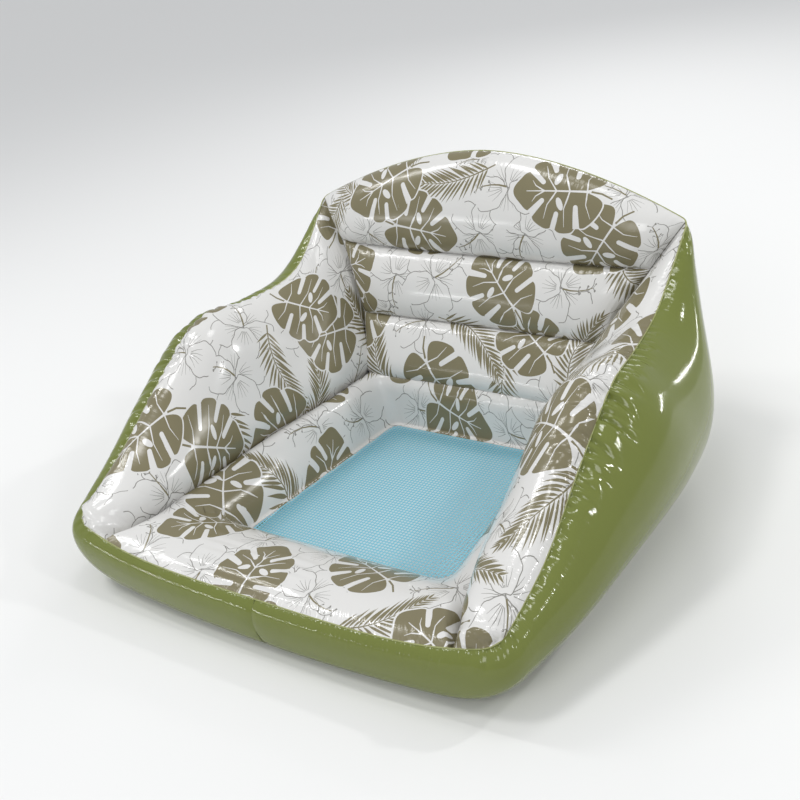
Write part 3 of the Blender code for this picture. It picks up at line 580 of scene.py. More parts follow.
# Air and welds: puckers, pinched creases and flattened places
WRINKLE_SPACING = (0.55, 1.5)       # over the mean spacing
WRINKLE_WIDTH = (0.0052, 0.0082)
WRINKLE_LENGTH = (0.030, 0.062)
WRINKLE_FORCE = (0.45, 1.0)
WRINKLE_SLANT = 0.22
WRINKLE_REACH = 0.045               # along the seam, on either side
WRINKLE_FAN = 8                     # how fast a wrinkle widens away from its seam
WRINKLE_START = (-0.004, 0.005)     # from the seam
WRINKLE_SWELL = 0.30                # how high the film stands beside a wrinkle, over its depth
SWELL_WIDTH = 2.6
CREASE_DROP = 0.018
CREASE_REACH = 0.011
CREASE_MIX = 0.006                  # how softly one crease's pull passes into another's
SIDE_CREASE_DROP = 0.009
SIDE_CREASE_WAY = np.array([0.55, 0.80, -0.1])
BACK_CREASE_WAY = np.array([0, 0.6, -0.8])
BACK_CREASE_SHARE = 0.8
CORNER_CREASE_WAY = np.array([0.3, 0.6, -0.75])
TUCK_POWER = 1.6

# Spacing of a seam's wrinkles, the chance of each, and how hard the seam puckers along its length
FOOT_SEAM = (0.024, 0.85, lambda at: 0.7)
ARM_CREASE_SEAM = (0.022, 0.8, lambda at: 0.6)
SEAT_EDGE_SEAM = (0.017, 0.85, lambda at: 0.8)
WINDOW_SEAM = (0.018, 0.8, lambda at: 0.7)


def wrinkle_places(run_end, spacing, chance, strength, seed):
    """Wrinkles along a seam: place, width, length, depth and slant of each."""
    pick = random.Random(seed)
    found, at = [], 0.0
    while at < run_end:
        at += spacing * pick.uniform(*WRINKLE_SPACING)
        if pick.random() > chance:
            continue
        force = strength(at)
        found.append((at, pick.uniform(*WRINKLE_WIDTH),
                      pick.uniform(*WRINKLE_LENGTH) * (0.30 + 0.75 * force),
                      pick.uniform(*WRINKLE_FORCE) * force, pick.uniform(-WRINKLE_SLANT, WRINKLE_SLANT)))
    return found


def pucker_depth(run, distance, wrinkles, scale):
    """How far the film is drawn in at each point, for seams run along, at a distance from the seam."""
    depth = np.zeros_like(distance)
    for at, width, length, force, slant in wrinkles:
        near = np.abs(run - at) < WRINKLE_REACH
        if not near.any():
            continue
        s = distance[:, near]
        x = np.abs(run[near][None] + slant * s - at) / (width * (1 + WRINKLE_FAN * s))
        fade = smooth(s, *WRINKLE_START) * (1 - smooth(s, 0.2 * length, length))
        swell = WRINKLE_SWELL * np.exp(-(x / SWELL_WIDTH) ** 2)
        depth[:, near] += scale * force * (np.exp(-x ** 1.5) - swell) * fade
    return depth


def crease_pulls():
    """Places along the creases of both sides, and how far each is drawn into the chair."""
    corner_pull = CORNER_CREASE_WAY * CREASE_DROP
    places, pulls = [], []
    # Crease, places along it, its pull, where that sets in and is full, and where the corner's does
    for crease, shares, pull, (first, full), turn in (
            (arm_crease, even_shares(180), -UP * CREASE_DROP, (0.0, 0.10), 0.86),
            (side_crease, even_shares(80)[1:], SIDE_CREASE_WAY * SIDE_CREASE_DROP, (0.0, 0.35), 0.75),
            (back_crease, even_shares(60)[:-1], BACK_CREASE_WAY * CREASE_DROP * BACK_CREASE_SHARE,
             (-1.0, 0.0), 0.85)):
        for share in shares:
            here = pull * smooth(share, first, full)
            places.append(crease(share))
            pulls.append(here + (corner_pull - here) * smooth(share, turn, 1.0))
    places, pulls = np.array(places), np.array(pulls)
    return np.concatenate([places, places * MIRROR]), np.concatenate([pulls, pulls * MIRROR])


CREASE_PLACES, CREASE_PULLS = crease_pulls()
BATCH = 4000                        # points moved at a time


def drawn_in(points):
    """Points near a crease moved with it, so that the crease is a deep narrow fold."""
    flat = points.reshape(-1, 3)
    out = flat.copy()
    for first in range(0, len(flat), BATCH):
        some = flat[first:first + BATCH]
        gap = np.linalg.norm(some[:, None] - CREASE_PLACES[None], axis=2)
        least = gap.min(axis=1)
        weight = np.exp(-(gap - least[:, None]) / CREASE_MIX)
        pull = weight @ CREASE_PULLS / weight.sum(axis=1, keepdims=True)
        out[first:first + BATCH] += pull * np.exp(-(least / CREASE_REACH) ** 1.5)[:, None]
    return out.reshape(points.shape)


def tuck(distance, height, reach):
    """Film that swells over the crease at its edge, so that the crease closes to a tight fold."""
    near = (distance / reach) ** TUCK_POWER
    return height * near * np.exp(1 - near)


def rim_strength(at):
    """How hard the rim puckers at a length along it: most where it curves the wrong way."""
    corner = RUN[FRONT_STEPS + EDGE_STEPS + CORNER_STEPS // 2]
    ear = RUN[EAR_COLUMN]
    level = 0.30
    # Force, middle and width of each stretch that puckers hard
    for force, middle, width in ((1.45, 0.625 * ear, 0.15), (0.70, 0.77 * ear, 0.07),
                                 (0.50, corner, 0.05), (0.45, ear, 0.04)):
        level += force * math.exp(-((at - middle) / width) ** 2)
    level *= 0.15 + 0.85 * smooth(at, 0.80 * corner, corner)
    return level + (0.10 if at > ear else 0.0)


RIM_WRINKLES = {side: wrinkle_places(RUN[-1], 0.0165, 0.94, rim_strength, seed)
                for side, seed in (("right", 11), ("left", 29))}


def valve_seat(row, column, side):
    """Middle and axes (down, across, out) of the facet of the CAD wrap that a valve is welded to."""
    arch = [("arch", 1 - k / CAD_ARCH_STEPS) for k in (column, column + 1)]
    corners = [bezier(wrap_shape(*place), k / CAD_WRAP_STEPS) * SIDES[side]
               for place, k in ((arch[0], row), (arch[1], row), (arch[1], row + 1), (arch[0], row + 1))]
    normal = unit(np.cross(corners[2] - corners[0], corners[3] - corners[1]))
    normal = normal * np.sign(normal[1])
    down = unit(-UP + normal * normal[2])
    return sum(corners) / 4, np.array([down, np.cross(normal, down), normal])


VALVES = {"upper_valve": valve_seat(3, 3, "right"), "base_valve": valve_seat(5, 3, "left")}
VALVE_PLANE = 0.0002
FILM_HOLE = 0.0100
FLAT_REACH = (0.019, 0.060)         # from a valve's axis: flat within, as it was beyond
SPOKE_RISE = (0.018, 0.027)
SPOKE_FALL = (0.030, 0.062)
SPOKE_HEIGHT = 0.0011
VALVE_SIDE = 0.05                   # film farther from a valve's plane is not its own


def flattened(grid, valve):
    """The film drawn flat under a valve's flange, with fine spokes round it."""
    centre, axes = VALVES[valve]
    local = (grid - centre) @ axes.T
    reach = np.hypot(local[..., 0], local[..., 1])
    weight = 1 - smooth(reach, *FLAT_REACH)
    near = np.abs(local[..., 2]) < VALVE_SIDE
    change = np.where(near, (VALVE_PLANE - local[..., 2]) * weight, 0)
    turn = np.arctan2(local[..., 1], local[..., 0])
    fade = smooth(reach, *SPOKE_RISE) * (1 - smooth(reach, *SPOKE_FALL))
    spokes = np.sin(7 * turn) + 0.6 * np.sin(11 * turn + 1)
    change += np.where(near, SPOKE_HEIGHT * fade * spokes, 0)
    return grid + change[..., None] * axes[2]


# Materials
WAVE_SCALE = 9.0                    # of the noises, over a metre
SMEAR_SCALE = 38.0
RIPPLE_SCALE = 60.0
GRAIN_SCALE = 900.0
LINES_ALONG = 130.0                 # of the lines drawn by a seam
LINES_AWAY = 14.0
LINES_FADE = 45.0                   # halvings over a metre from the seam
WAVE_DEPTH = 0.010
RIPPLE_DEPTH = 0.0005
LINES_DEPTH = 0.0040
GRAIN_DEPTH = 0.00004


def shader_of(name, colour, roughness):
    material = bpy.data.materials.new(name)
    material.use_nodes = True
    shader = material.node_tree.nodes["Principled BSDF"]
    shader.inputs["Base Color"].default_value = (*colour, 1)
    shader.inputs["Roughness"].default_value = roughness
    return material, material.node_tree, shader


def node(tree, kind, inputs, output, **settings):
    """One output of a new node, whose inputs are values or outputs of other nodes."""
    new = tree.nodes.new("ShaderNode" + kind)
    for setting, value in settings.items():
        setattr(new, setting, value)
    for name, value in inputs.items():
        if isinstance(value, bpy.types.NodeSocket):
            tree.links.new(value, new.inputs[name])
        else:
            new.inputs[name].default_value = value
    return new.outputs[output]


def noise(tree, scale, detail, source):
    return node(tree, "TexNoise", {"Scale": scale, "Detail": detail, "Vector": source}, "Fac")


def spread(tree, value, low, high):
    """A noise value, which is mostly from 0.3 to 0.7, spread over a range."""
    return node(tree, "MapRange", {"From Min": 0.3, "From Max": 0.7, "To Min": low, "To Max": high,
                                   "Value": value}, "Result")


def combined(tree, one, other, operation="MULTIPLY"):
    return node(tree, "Math", {0: one, 1: other}, 0, operation=operation)


def bump(tree, height, distance, strength, **before):
    return node(tree, "Bump", {"Distance": distance, "Strength": strength, "Height": height, **before},
                "Normal")


def tinted(tree, colour, amount, value):
    """Colour that varies a little by a value."""
    low, high = ((*[min(1.0, c * (1 + change)) for c in colour], 1) for change in (-amount, amount))
    return node(tree, "Mix", {"A": low, "B": high, "Factor": value}, "Result", data_type="RGBA")


def film(name, colour, roughness, variation=0.03, sway=0.6, tension=0.5):
    """Soft glossy vinyl film: slow waves, fine drawn lines by its seams and a faint grain."""
    material, tree, shader = shader_of(name, colour, roughness)
    shader.inputs["Specular IOR Level"].default_value = 0.4
    place = tree.nodes.new("ShaderNodeTexCoord").outputs
    slow = noise(tree, WAVE_SCALE, 2.0, place["Object"])
    grain = noise(tree, GRAIN_SCALE, 2.0, place["Object"])
    smear = noise(tree, SMEAR_SCALE, 3.0, place["Object"])
    rough = spread(tree, smear, roughness * 0.82, roughness * 1.25)
    tree.links.new(rough, shader.inputs["Roughness"])
    tree.links.new(tinted(tree, colour, variation, slow), shader.inputs["Base Color"])

    seam = tree.nodes.new("ShaderNodeSeparateXYZ")
    tree.links.new(place["UV"], seam.inputs[0])
    along, away = seam.outputs["X"], seam.outputs["Y"]
    stretched = node(tree, "CombineXYZ", {"X": combined(tree, along, LINES_ALONG),
                                          "Y": combined(tree, away, LINES_AWAY)}, 0)
    fade = combined(tree, 0.5, combined(tree, away, LINES_FADE), "POWER")
    lines = combined(tree, noise(tree, 1.0, 2.0, stretched), fade)
    waves = bump(tree, slow, WAVE_DEPTH, 0.25 * sway)
    uneven = noise(tree, RIPPLE_SCALE, 1.0, place["Object"])
    ripple = bump(tree, uneven, RIPPLE_DEPTH, 0.30 * sway, Normal=waves)
    taut = bump(tree, lines, LINES_DEPTH, tension, Normal=ripple)
    tree.links.new(bump(tree, grain, GRAIN_DEPTH, 0.3, Normal=taut), shader.inputs["Normal"])
    return material


OLIVE = film("olive_film", (0.155, 0.182, 0.040), 0.10, sway=0.4)
# The rim seam is the real welded edge, coloured paler than the olive film as a painted highlight along
# the rim.
OLIVE_SEAM_PAINTED_HIGHLIGHT = film("olive_seam_painted_highlight", (0.29, 0.31, 0.12), 0.30, tension=0.2)
OLIVE_WELD = film("olive_weld", (0.085, 0.100, 0.025), 0.30, tension=0.2)
WHITE = film("printed_film_white", (0.672, 0.664, 0.645), 0.14)
INK = film("printed_film_leaf", (0.192, 0.170, 0.098), 0.18, variation=0.08)
LINE = film("printed_film_line", (0.230, 0.225, 0.205), 0.22)
# The crease beads' dark colour is painted shade: it darkens the tight folds between the panels.
CREASE_WELD_PAINTED_SHADE = film("crease_weld_painted_shade", (0.120, 0.112, 0.090), 0.40, tension=0.2)
WHITE_SEAM = film("white_seam", (0.74, 0.73, 0.70), 0.30, tension=0.2)
WEB = film("web_film", (0.74, 0.74, 0.71), 0.35, tension=0.2)
NET = film("net_yarn", (0.265, 0.610, 0.730), 0.55, sway=0.0, tension=0.0)
VALVE = film("valve_film", (0.80, 0.82, 0.80), 0.28, sway=0.0, tension=0.0)
STEM = film("valve_stem_film", (0.84, 0.86, 0.85), 0.18, sway=0.0, tension=0.0)

# Meshes
FAR_FROM_SEAM = 0.2
TOLERANCE = 1e-7
HOLE_MARGIN = 0.002                 # film cut away round a valve's hole and laid anew
HOLE_DEPTH = 0.02                   # film farther from the valve's plane has no hole
HOLE_REACH = 0.04
HOLE_STEPS = 48
BEAD_SIDES = 10


def linked(name, data):
    """New object in the scene."""
    thing = bpy.data.objects.new(name, data)
    bpy.context.scene.collection.objects.link(thing)
    return thing


def made(name, points, faces, materials, face_slots=None, normals=None, coords=None):
    """Object from points and faces, with its finish, normals and seam coordinates."""
    mesh = bpy.data.meshes.new(name)
    mesh.from_pydata((points + SHIFT).tolist(), [], [tuple(map(int, face)) for face in faces])
    for material in materials:
        mesh.materials.append(material)
    if face_slots is not None:
        mesh.polygons.foreach_set("material_index", face_slots)
    mesh.shade_smooth()
    if coords is None:
        coords = np.full((len(points), 2), FAR_FROM_SEAM)
    loops = np.empty(len(mesh.loops), dtype=np.int32)
    mesh.loops.foreach_get("vertex_index", loops)
    mesh.uv_layers.new(name="seam").data.foreach_set("uv", coords[loops].ravel())
    if normals is not None:
        mesh.normals_split_custom_set_from_vertices(normals.tolist())
    return linked(name, mesh)


def dress(piece, body="chair", node_name=None):
    """Names a piece's body and the node that it is seen in place of."""
    if node_name is not None:
        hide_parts(node_name)
    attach(piece, body)


def numbered(rows, columns):
    return np.arange(rows * columns).reshape(rows, columns)


def quads_of(index, ring=False, closed=False):
    """Corners of each face of a numbered grid, which may close on itself along its rows or columns."""
    wide = np.pad(index, ((0, int(closed)), (0, int(ring))), "wrap")
    corners = wide[:-1, :-1], wide[:-1, 1:], wide[1:, 1:], wide[1:, :-1]
    return np.stack(corners, -1).reshape(-1, 4)


def border_edges(faces):
    """Edges that only one face has, each in that face's own direction."""
    seen = dict.fromkeys(edge for face in faces for edge in zip(face, (*face[1:], face[0])))
    return [(a, b) for a, b in seen if (b, a) not in seen]


def ordered_loops(edges):
    after = dict(edges)
    loops = []
    while after:
        start, step = after.popitem()
        loop = [start]
        while step != start:
            loop.append(step)
            step = after.pop(step)
        loops.append(loop)
    return loops


def compact(faces):
    """Points that the faces use, in order, and the faces numbered by them."""
    used = sorted({k for face in faces for k in face})
    place = {k: new for new, k in enumerate(used)}
    return used, [[place[k] for k in face] for face in faces]


def signed_area(outline):
    x, y = outline[:, 0], outline[:, 1]
    return float((x * np.roll(y, -1) - y * np.roll(x, -1)).sum() / 2)


def counter_clockwise(points, loop):
    return loop if signed_area(points[loop]) > 0 else loop[::-1]


def circle_of(steps):
    """Cosine and sine of evenly spaced angles."""
    turn = 2 * np.pi * np.arange(steps) / steps
    return np.stack([np.cos(turn), np.sin(turn)], -1)


def cut(points, loops, polygons=(), edges=()):
    """Triangles of a flat cut, with the last polygon that each lies in and each point's source."""
    vertices = [tuple(point) for point in points]
    faces = [list(loop) for loop in loops]
    for polygon in polygons:
        start = len(vertices)
        vertices += [tuple(point) for point in polygon]
        faces.append(list(range(start, len(vertices))))
    found = delaunay_2d_cdt([Vector(v) for v in vertices], list(edges), faces, 1, TOLERANCE)
    border, hole = 0, (1 if len(loops) > 1 else None)
    kept = [(triangle, max(inside)) for triangle, inside in zip(found[2], found[5])
            if border in inside and hole not in inside]
    triangles, top = zip(*kept)
    return np.array([tuple(v) for v in found[0]]), np.array(triangles), np.array(top), found[3]


def film_piece(name, grid, normals, material, coords=None, ring=False, valve=None):
    """Closed thin sheet from a grid of points, with a round hole for a valve."""
    quads = quads_of(numbered(*grid.shape[:2]), ring)
    points, normals = grid.reshape(-1, 3), normals.reshape(-1, 3)
    coords = np.full((len(points), 2), FAR_FROM_SEAM) if coords is None else coords.reshape(-1, 2)
    diagonal = np.cross(points[quads[:, 2]] - points[quads[:, 0]],
                        points[quads[:, 3]] - points[quads[:, 1]])
    if (diagonal * normals[quads[:, 0]]).sum() < 0:
        quads = quads[:, ::-1]
    faces = quads.tolist()
    if valve is not None:
        centre, axes = VALVES[valve]
        local = (points - centre) @ axes.T
        reach = np.where(np.abs(local[:, 2]) < HOLE_DEPTH, np.hypot(local[:, 0], local[:, 1]), 1.0)
        faces = quads[(reach[quads] > FILM_HOLE + HOLE_MARGIN).all(axis=1)].tolist()
        rim_loop = next(loop for loop in ordered_loops(border_edges(faces))
                        if reach[loop].max() < HOLE_REACH)
        circle = FILM_HOLE * circle_of(HOLE_STEPS)
        outline = local[rim_loop, :2]
        edge = counter_clockwise(outline, list(range(len(outline))))
        inner = list(range(len(outline), len(outline) + HOLE_STEPS))
        _, triangles, _, source = cut([*outline, *circle], [edge, inner])
        numbers = rim_loop + list(range(len(points), len(points) + HOLE_STEPS))
        hole = np.column_stack([circle, np.full(HOLE_STEPS, VALVE_PLANE)])
        points = np.concatenate([points, centre + hole @ axes])
        normals = np.concatenate([normals, np.tile(axes[2], (HOLE_STEPS, 1))])
        coords = np.concatenate([coords, np.tile(coords[rim_loop[0]], (HOLE_STEPS, 1))])
        order = 1 if np.cross(axes[0], axes[1]) @ axes[2] > 0 else -1
        faces += [[numbers[source[k][0]] for k in triangle][::order] for triangle in triangles.tolist()]
    count = len(points)
    walls = [[b, a, a + count, b + count] for a, b in border_edges(faces)]
    faces += [[k + count for k in face[::-1]] for face in faces] + walls
    used, faces = compact(faces)
    both = np.concatenate([points, points - normals * SKIN])[used]
    return made(name, both, faces, [material], normals=np.concatenate([normals, -normals])[used],
                coords=np.tile(coords, (2, 1))[used])


def tube(name, path, radius, material, way, closed=False, flat=1.0):
    """Bead along a path: flat presses its section, way is the direction of its longer half."""
    ahead = np.roll(path, -1, axis=0) - np.roll(path, 1, axis=0) if closed else np.gradient(path, axis=0)
    ahead = units(ahead)
    out = units(way - (way * ahead).sum(axis=1, keepdims=True) * ahead)
    side = np.cross(ahead, out)
    wide, high = circle_of(BEAD_SIDES).T[:, None, :, None]
    points = path[:, None] + (wide * out[:, None] + high * side[:, None] * flat) * radius
    index = numbered(len(path), BEAD_SIDES)
    faces = np.roll(quads_of(index, True, closed), -1, axis=1).tolist()
    if not closed:
        faces += [index[0].tolist(), index[-1][::-1].tolist()]
    return made(name, points.reshape(-1, 3), faces, [material])


# The print: the bare numbers of a motif are shares of its size, and angles
WHITE_SLOT, INK_SLOT, LINE_SLOT = 0, 1, 2
PRINT_PITCH = 0.138
PRINT_ROW = PRINT_PITCH * 0.87
PRINT_KINDS = ("leaf", "flower", "frond", "leaf", "flower", "flower", "leaf", "frond", "flower")
FLOWER_LINE = 0.0016
LEAF_HALO = 0.0035
FINE_STEP = 0.0032
COARSE_STEP = 0.0064
CELL = 0.0016


def way_of(angle):
    return np.array([math.cos(angle), math.sin(angle)])


def quarter_turned(way):
    return np.array([-way[1], way[0]])


def turned(points, turn):
    way = way_of(turn)
    return points @ np.array([way, quarter_turned(way)])


def lens(start, end, width, swell=0.36, points=7):
    """Outline of a thin leaf between two points."""
    t = np.linspace(0, 1, points)[:, None]
    along = end - start
    side = quarter_turned(along) / np.linalg.norm(along)
    shape = np.sin(np.pi * t ** (math.log(0.5) / math.log(swell))) * width / 2
    spine = start + along * t
    return np.concatenate([spine - side * shape, (spine + side * shape)[-2:0:-1]])


def stroke(line, width, taper=1.0):
    """Outline of a drawn line that thins towards its end."""
    line = np.asarray(line, float)
    ahead = units(np.gradient(line, axis=0))
    side = np.stack([-ahead[:, 1], ahead[:, 0]], -1)
    half = width / 2 * np.linspace(1, taper, len(line))[:, None]
    return np.concatenate([line - side * half, (line + side * half)[::-1]])


def oval(centre, long_half, short_half, turn, points):
    return centre + turned(circle_of(points) * (long_half, short_half), turn)


def split_leaf(size, pick):
    """Broad leaf with rounded slits between its fingers, a pale midrib and veins, and oval holes."""
    turn = np.linspace(-np.pi, np.pi, 145)[:-1]
    wide = np.array([1, 0.92 + pick.uniform(-0.04, 0.04)])
    slits = [(side, angle + pick.uniform(-0.07, 0.07)) for side in (-1, 1)
             for angle in (0.58, 1.16, 1.84)]
    reach = (0.50 + 0.05 * np.cos(turn) + 0.09 * np.exp(-(turn / 0.24) ** 2)
             - 0.24 * np.exp(-((np.abs(turn) - np.pi) / 0.20) ** 2))
    for side, angle in slits:
        reach = reach - 0.050 * np.exp(-((turn - side * angle) / 0.10) ** 2)
    outline = np.stack([np.cos(turn), np.sin(turn)], -1) * reach[:, None] * wide * size
    shapes = [(outline * (1 + LEAF_HALO / (0.5 * size)), WHITE_SLOT), (outline, INK_SLOT)]
    for k, (side, angle) in enumerate(slits):
        holed = k % 3 == 1
        root = np.array([0.30 - 0.50 * angle / 2.2, 0.0]) * size
        edge = way_of(side * angle) * wide * (np.interp(side * angle, turn, reach) + 0.02) * size
        inner = root + (edge - root) * ((0.60 if holed else 0.42) + pick.uniform(-0.05, 0.03))
        lead = unit(edge - inner)
        across = quarter_turned(lead)
        mouth = across * size * pick.uniform(0.030, 0.042)
        cap = [inner + size * 0.027 * (across * math.cos(a) - lead * math.sin(a))
               for a in np.linspace(0, math.pi, 6)]
        shapes.append((np.array([edge + mouth, *cap, edge - mouth]), WHITE_SLOT))
        if holed:
            hole = root + (edge - root) * 0.34
            shapes.append((oval(hole, size * 0.074, size * 0.036, -math.atan2(lead[1], lead[0]), 14),
                           WHITE_SLOT))
    for side in (-1, 1):
        for angle in (0.30, 0.87, 1.48, 2.26):
            root = np.array([0.34 - 0.60 * angle / 2.36, 0.0]) * size
            edge = way_of(side * angle) * wide * 0.43 * size
            middle = (root + edge) / 2 + np.array([0.03 * size, 0])
            shapes.append((stroke([root, middle, edge], size * 0.017, 0.25), WHITE_SLOT))
    midrib = np.array([(-0.30, 0), (-0.12, 0), (0.234, 0), (0.4784, 0)]) * size
    shapes.append((stroke(midrib, size * 0.030, 0.25), WHITE_SLOT))
    stem = np.array([(-0.28, 0), (-0.40, 0.02), (-0.52, 0.08)]) * size
    shapes.append((stroke(stem, size * 0.024, 0.8), INK_SLOT))
    return shapes


def frond(size, pick):
    """Feathery palm frond: thin leaflets in pairs along a curved rib."""
    t = np.linspace(0, 1, 14)
    curve = pick.choice((-1, 1)) * pick.uniform(0.06, 0.16)
    rib = np.stack([(t - 0.5), curve * (t - 0.5) ** 2 * 4 - curve / 2], -1) * size * 1.6
    halos, leaflets = [], []
    for at in 0.08 + 0.90 * even_shares(18):
        root = np.array([np.interp(at, t, rib[:, axis]) for axis in (0, 1)])
        ahead = math.atan2(8 * curve * (at - 0.5), 1)
        length = size * (0.42 * math.sin(math.pi * (0.16 + 0.78 * at)) + 0.08)
        for side in (-1, 1):
            way = way_of(ahead + side * (0.86 - 0.42 * at + pick.uniform(-0.07, 0.07)))
            end = root + length * pick.uniform(0.88, 1.06) * way
            halos.append((lens(root, end + way * size * 0.02, size * 0.066), WHITE_SLOT))
            leaflets.append((lens(root, end, size * 0.040), INK_SLOT))
    return halos + leaflets + [(stroke(rib, size * 0.026, 0.35), INK_SLOT)]


def blossom(size, pick):
    """Open flower in thin lines: five ruffled petals, veins, and a dark style with small dots."""
    shapes = []
    ruffle = 2 * np.pi * np.arange(46) / 46
    first = pick.uniform(0, 2 * math.pi)
    for layer in range(5):
        way = way_of(first + 2 * math.pi * (2 * layer % 5) / 5 + pick.uniform(-0.06, 0.06))
        side = quarter_turned(way)
        swell = 1 + 0.045 * np.sin(6 * ruffle + layer) + 0.020 * np.sin(11 * ruffle + 2 * layer)
        long_way = (0.285 + 0.27 * np.cos(ruffle) * swell) * size
        wide_way = (0.235 + 0.045 * np.cos(ruffle)) * np.sin(ruffle) * swell * size
        outline = way * long_way[:, None] + side * wide_way[:, None]
        shapes += [(outline, WHITE_SLOT), (stroke(outline[4:-3], FLOWER_LINE), LINE_SLOT)]
        for fan in (-1.0, -0.55, -0.15, 0.3, 0.8):
            start = (way * 0.09 + side * fan * 0.035) * size
            end = (way * (0.34 - 0.09 * abs(fan)) + side * fan * 0.15) * size
            vein = [start, (start + end) / 2 + side * 0.006 * size, end]
            shapes.append((stroke(vein, FLOWER_LINE * 0.8, 0.35), LINE_SLOT))
    style = first + pick.uniform(0.3, 0.9)
    bow = pick.choice((-1, 1)) * 0.7
    pistil = [size * r * way_of(style + bow * r) for r in (0.02, 0.14, 0.26, 0.38, 0.48)]
    shapes.append((stroke(pistil, size * 0.026, 0.45), INK_SLOT))
    for k in range(9):
        turn = style + bow * 0.4 + (k % 2 * 2 - 1) * pick.uniform(0.7, 1.3)
        start = pistil[2 + k % 3]
        end = start + size * pick.uniform(0.05, 0.08) * way_of(turn)
        shapes.append((stroke([start, (start + end) / 2, end], FLOWER_LINE * 0.7), LINE_SLOT))
        shapes.append((oval(end, FLOWER_LINE * 1.3, FLOWER_LINE, turn, 8), LINE_SLOT))
    return shapes


MAKERS = {"flower": (blossom, 0.142), "frond": (frond, 0.124), "leaf": (split_leaf, 0.178)}


def print_layout(low, high, seed):
    """Motifs over a flat rectangle: blossoms first, then fronds, with leaves on top."""
    pick = random.Random(seed)
    sites = []
    for row in range(int((high[1] - low[1]) / PRINT_ROW) + 3):
        for column in range(int((high[0] - low[0]) / PRINT_PITCH) + 3):
            x = low[0] + (column - 0.75 + 0.5 * (row % 2)) * PRINT_PITCH
            y = low[1] + (row - 0.75) * PRINT_ROW
            kind = PRINT_KINDS[(column * 2 + row * 5 + seed) % len(PRINT_KINDS)]
            jitter = PRINT_PITCH * 0.15
            sites.append((kind, x + pick.uniform(-1, 1) * jitter, y + pick.uniform(-1, 1) * jitter,
                          pick.uniform(0, 2 * math.pi), pick.uniform(0.92, 1.08)))
            if kind != "flower" and pick.random() < 0.35:
                sites.append(("flower", x + PRINT_PITCH * 0.5, y + PRINT_PITCH * pick.uniform(0.2, 0.4),
                              pick.uniform(0, 2 * math.pi), pick.uniform(0.70, 0.85)))
    motifs = []
    for kind, x, y, turn, scale in sorted(sites, key=lambda site: list(MAKERS).index(site[0])):
        maker, size = MAKERS[kind]
        for outline, slot in maker(size * scale, pick):
            outline = turned(outline, turn) + np.array([x, y])
            if (outline.min(axis=0) <= high).all() and (outline.max(axis=0) >= low).all():
                motifs.append((outline if signed_area(outline) > 0 else outline[::-1], slot))
    return motifs


class FlatMap:
    """The flat cut of a panel, and where each of its points lies on the finished panel."""

    def __init__(self, flat, grid, normals, coords, ring):
        index = numbered(*flat.shape[:2])
        if ring:
            self.loops = [index[-1], index[0]]
        else:
            self.loops = [np.concatenate([index[0, :-1], index[:-1, -1], index[-1, :0:-1],
                                          index[:0:-1, 0]])]
        quads = quads_of(index, ring)
        self.triangles = np.concatenate([quads[:, :3], quads[:, [0, 2, 3]]])
        self.flat = flat.reshape(-1, 2)
        self.values = np.concatenate([grid, normals, coords], axis=2).reshape(-1, 8)
        raised = np.concatenate([self.flat, np.zeros((len(self.flat), 1))], axis=1)
        self.tree = BVHTree.FromPolygons(raised.tolist(), self.triangles.tolist())

    def nearest(self, points):
        """Triangle, place and distance of the panel's nearest flat point to each point."""
        found = [self.tree.find_nearest((x, y, 0.0)) for x, y in points]
        return (np.array([hit[2] for hit in found]), np.array([hit[0][:2] for hit in found]),
                np.array([hit[3] for hit in found]))

    def lift(self, points):
        """Point, normal and seam coordinates on the panel for each flat point."""
        which, spots, _ = self.nearest(points)
        corners = self.flat[self.triangles[which]]
        one, two = corners[:, 1] - corners[:, 0], corners[:, 2] - corners[:, 0]
        gap = spots - corners[:, 0]
        area = one[:, 0] * two[:, 1] - one[:, 1] * two[:, 0]
        area = np.where(np.abs(area) < 1e-12, 1e-12, area)
        v = np.clip((gap[:, 0] * two[:, 1] - gap[:, 1] * two[:, 0]) / area, 0, 1)
        w = np.clip((one[:, 0] * gap[:, 1] - one[:, 1] * gap[:, 0]) / area, 0, 1)
        shares = np.stack([np.clip(1 - v - w, 0, 1), v, w], -1)
        shares /= shares.sum(axis=1, keepdims=True)
        return (self.values[self.triangles[which]] * shares[..., None]).sum(axis=1)


def lattice(low, high, step):
    x = np.arange(low[0], high[0], step)
    y = np.arange(low[1], high[1], step * 0.866)
    return np.array([(a + (k % 2) * step / 2, b) for k, b in enumerate(y) for a in x])


def rings_of(loops):
    """Numbers of the points of loops that are laid end to end."""
    starts = np.cumsum([0] + [len(loop) for loop in loops])
    return [list(range(first, last)) for first, last in zip(starts, starts[1:])]


def cell_of(point):
    return int(point[0] / CELL), int(point[1] / CELL)


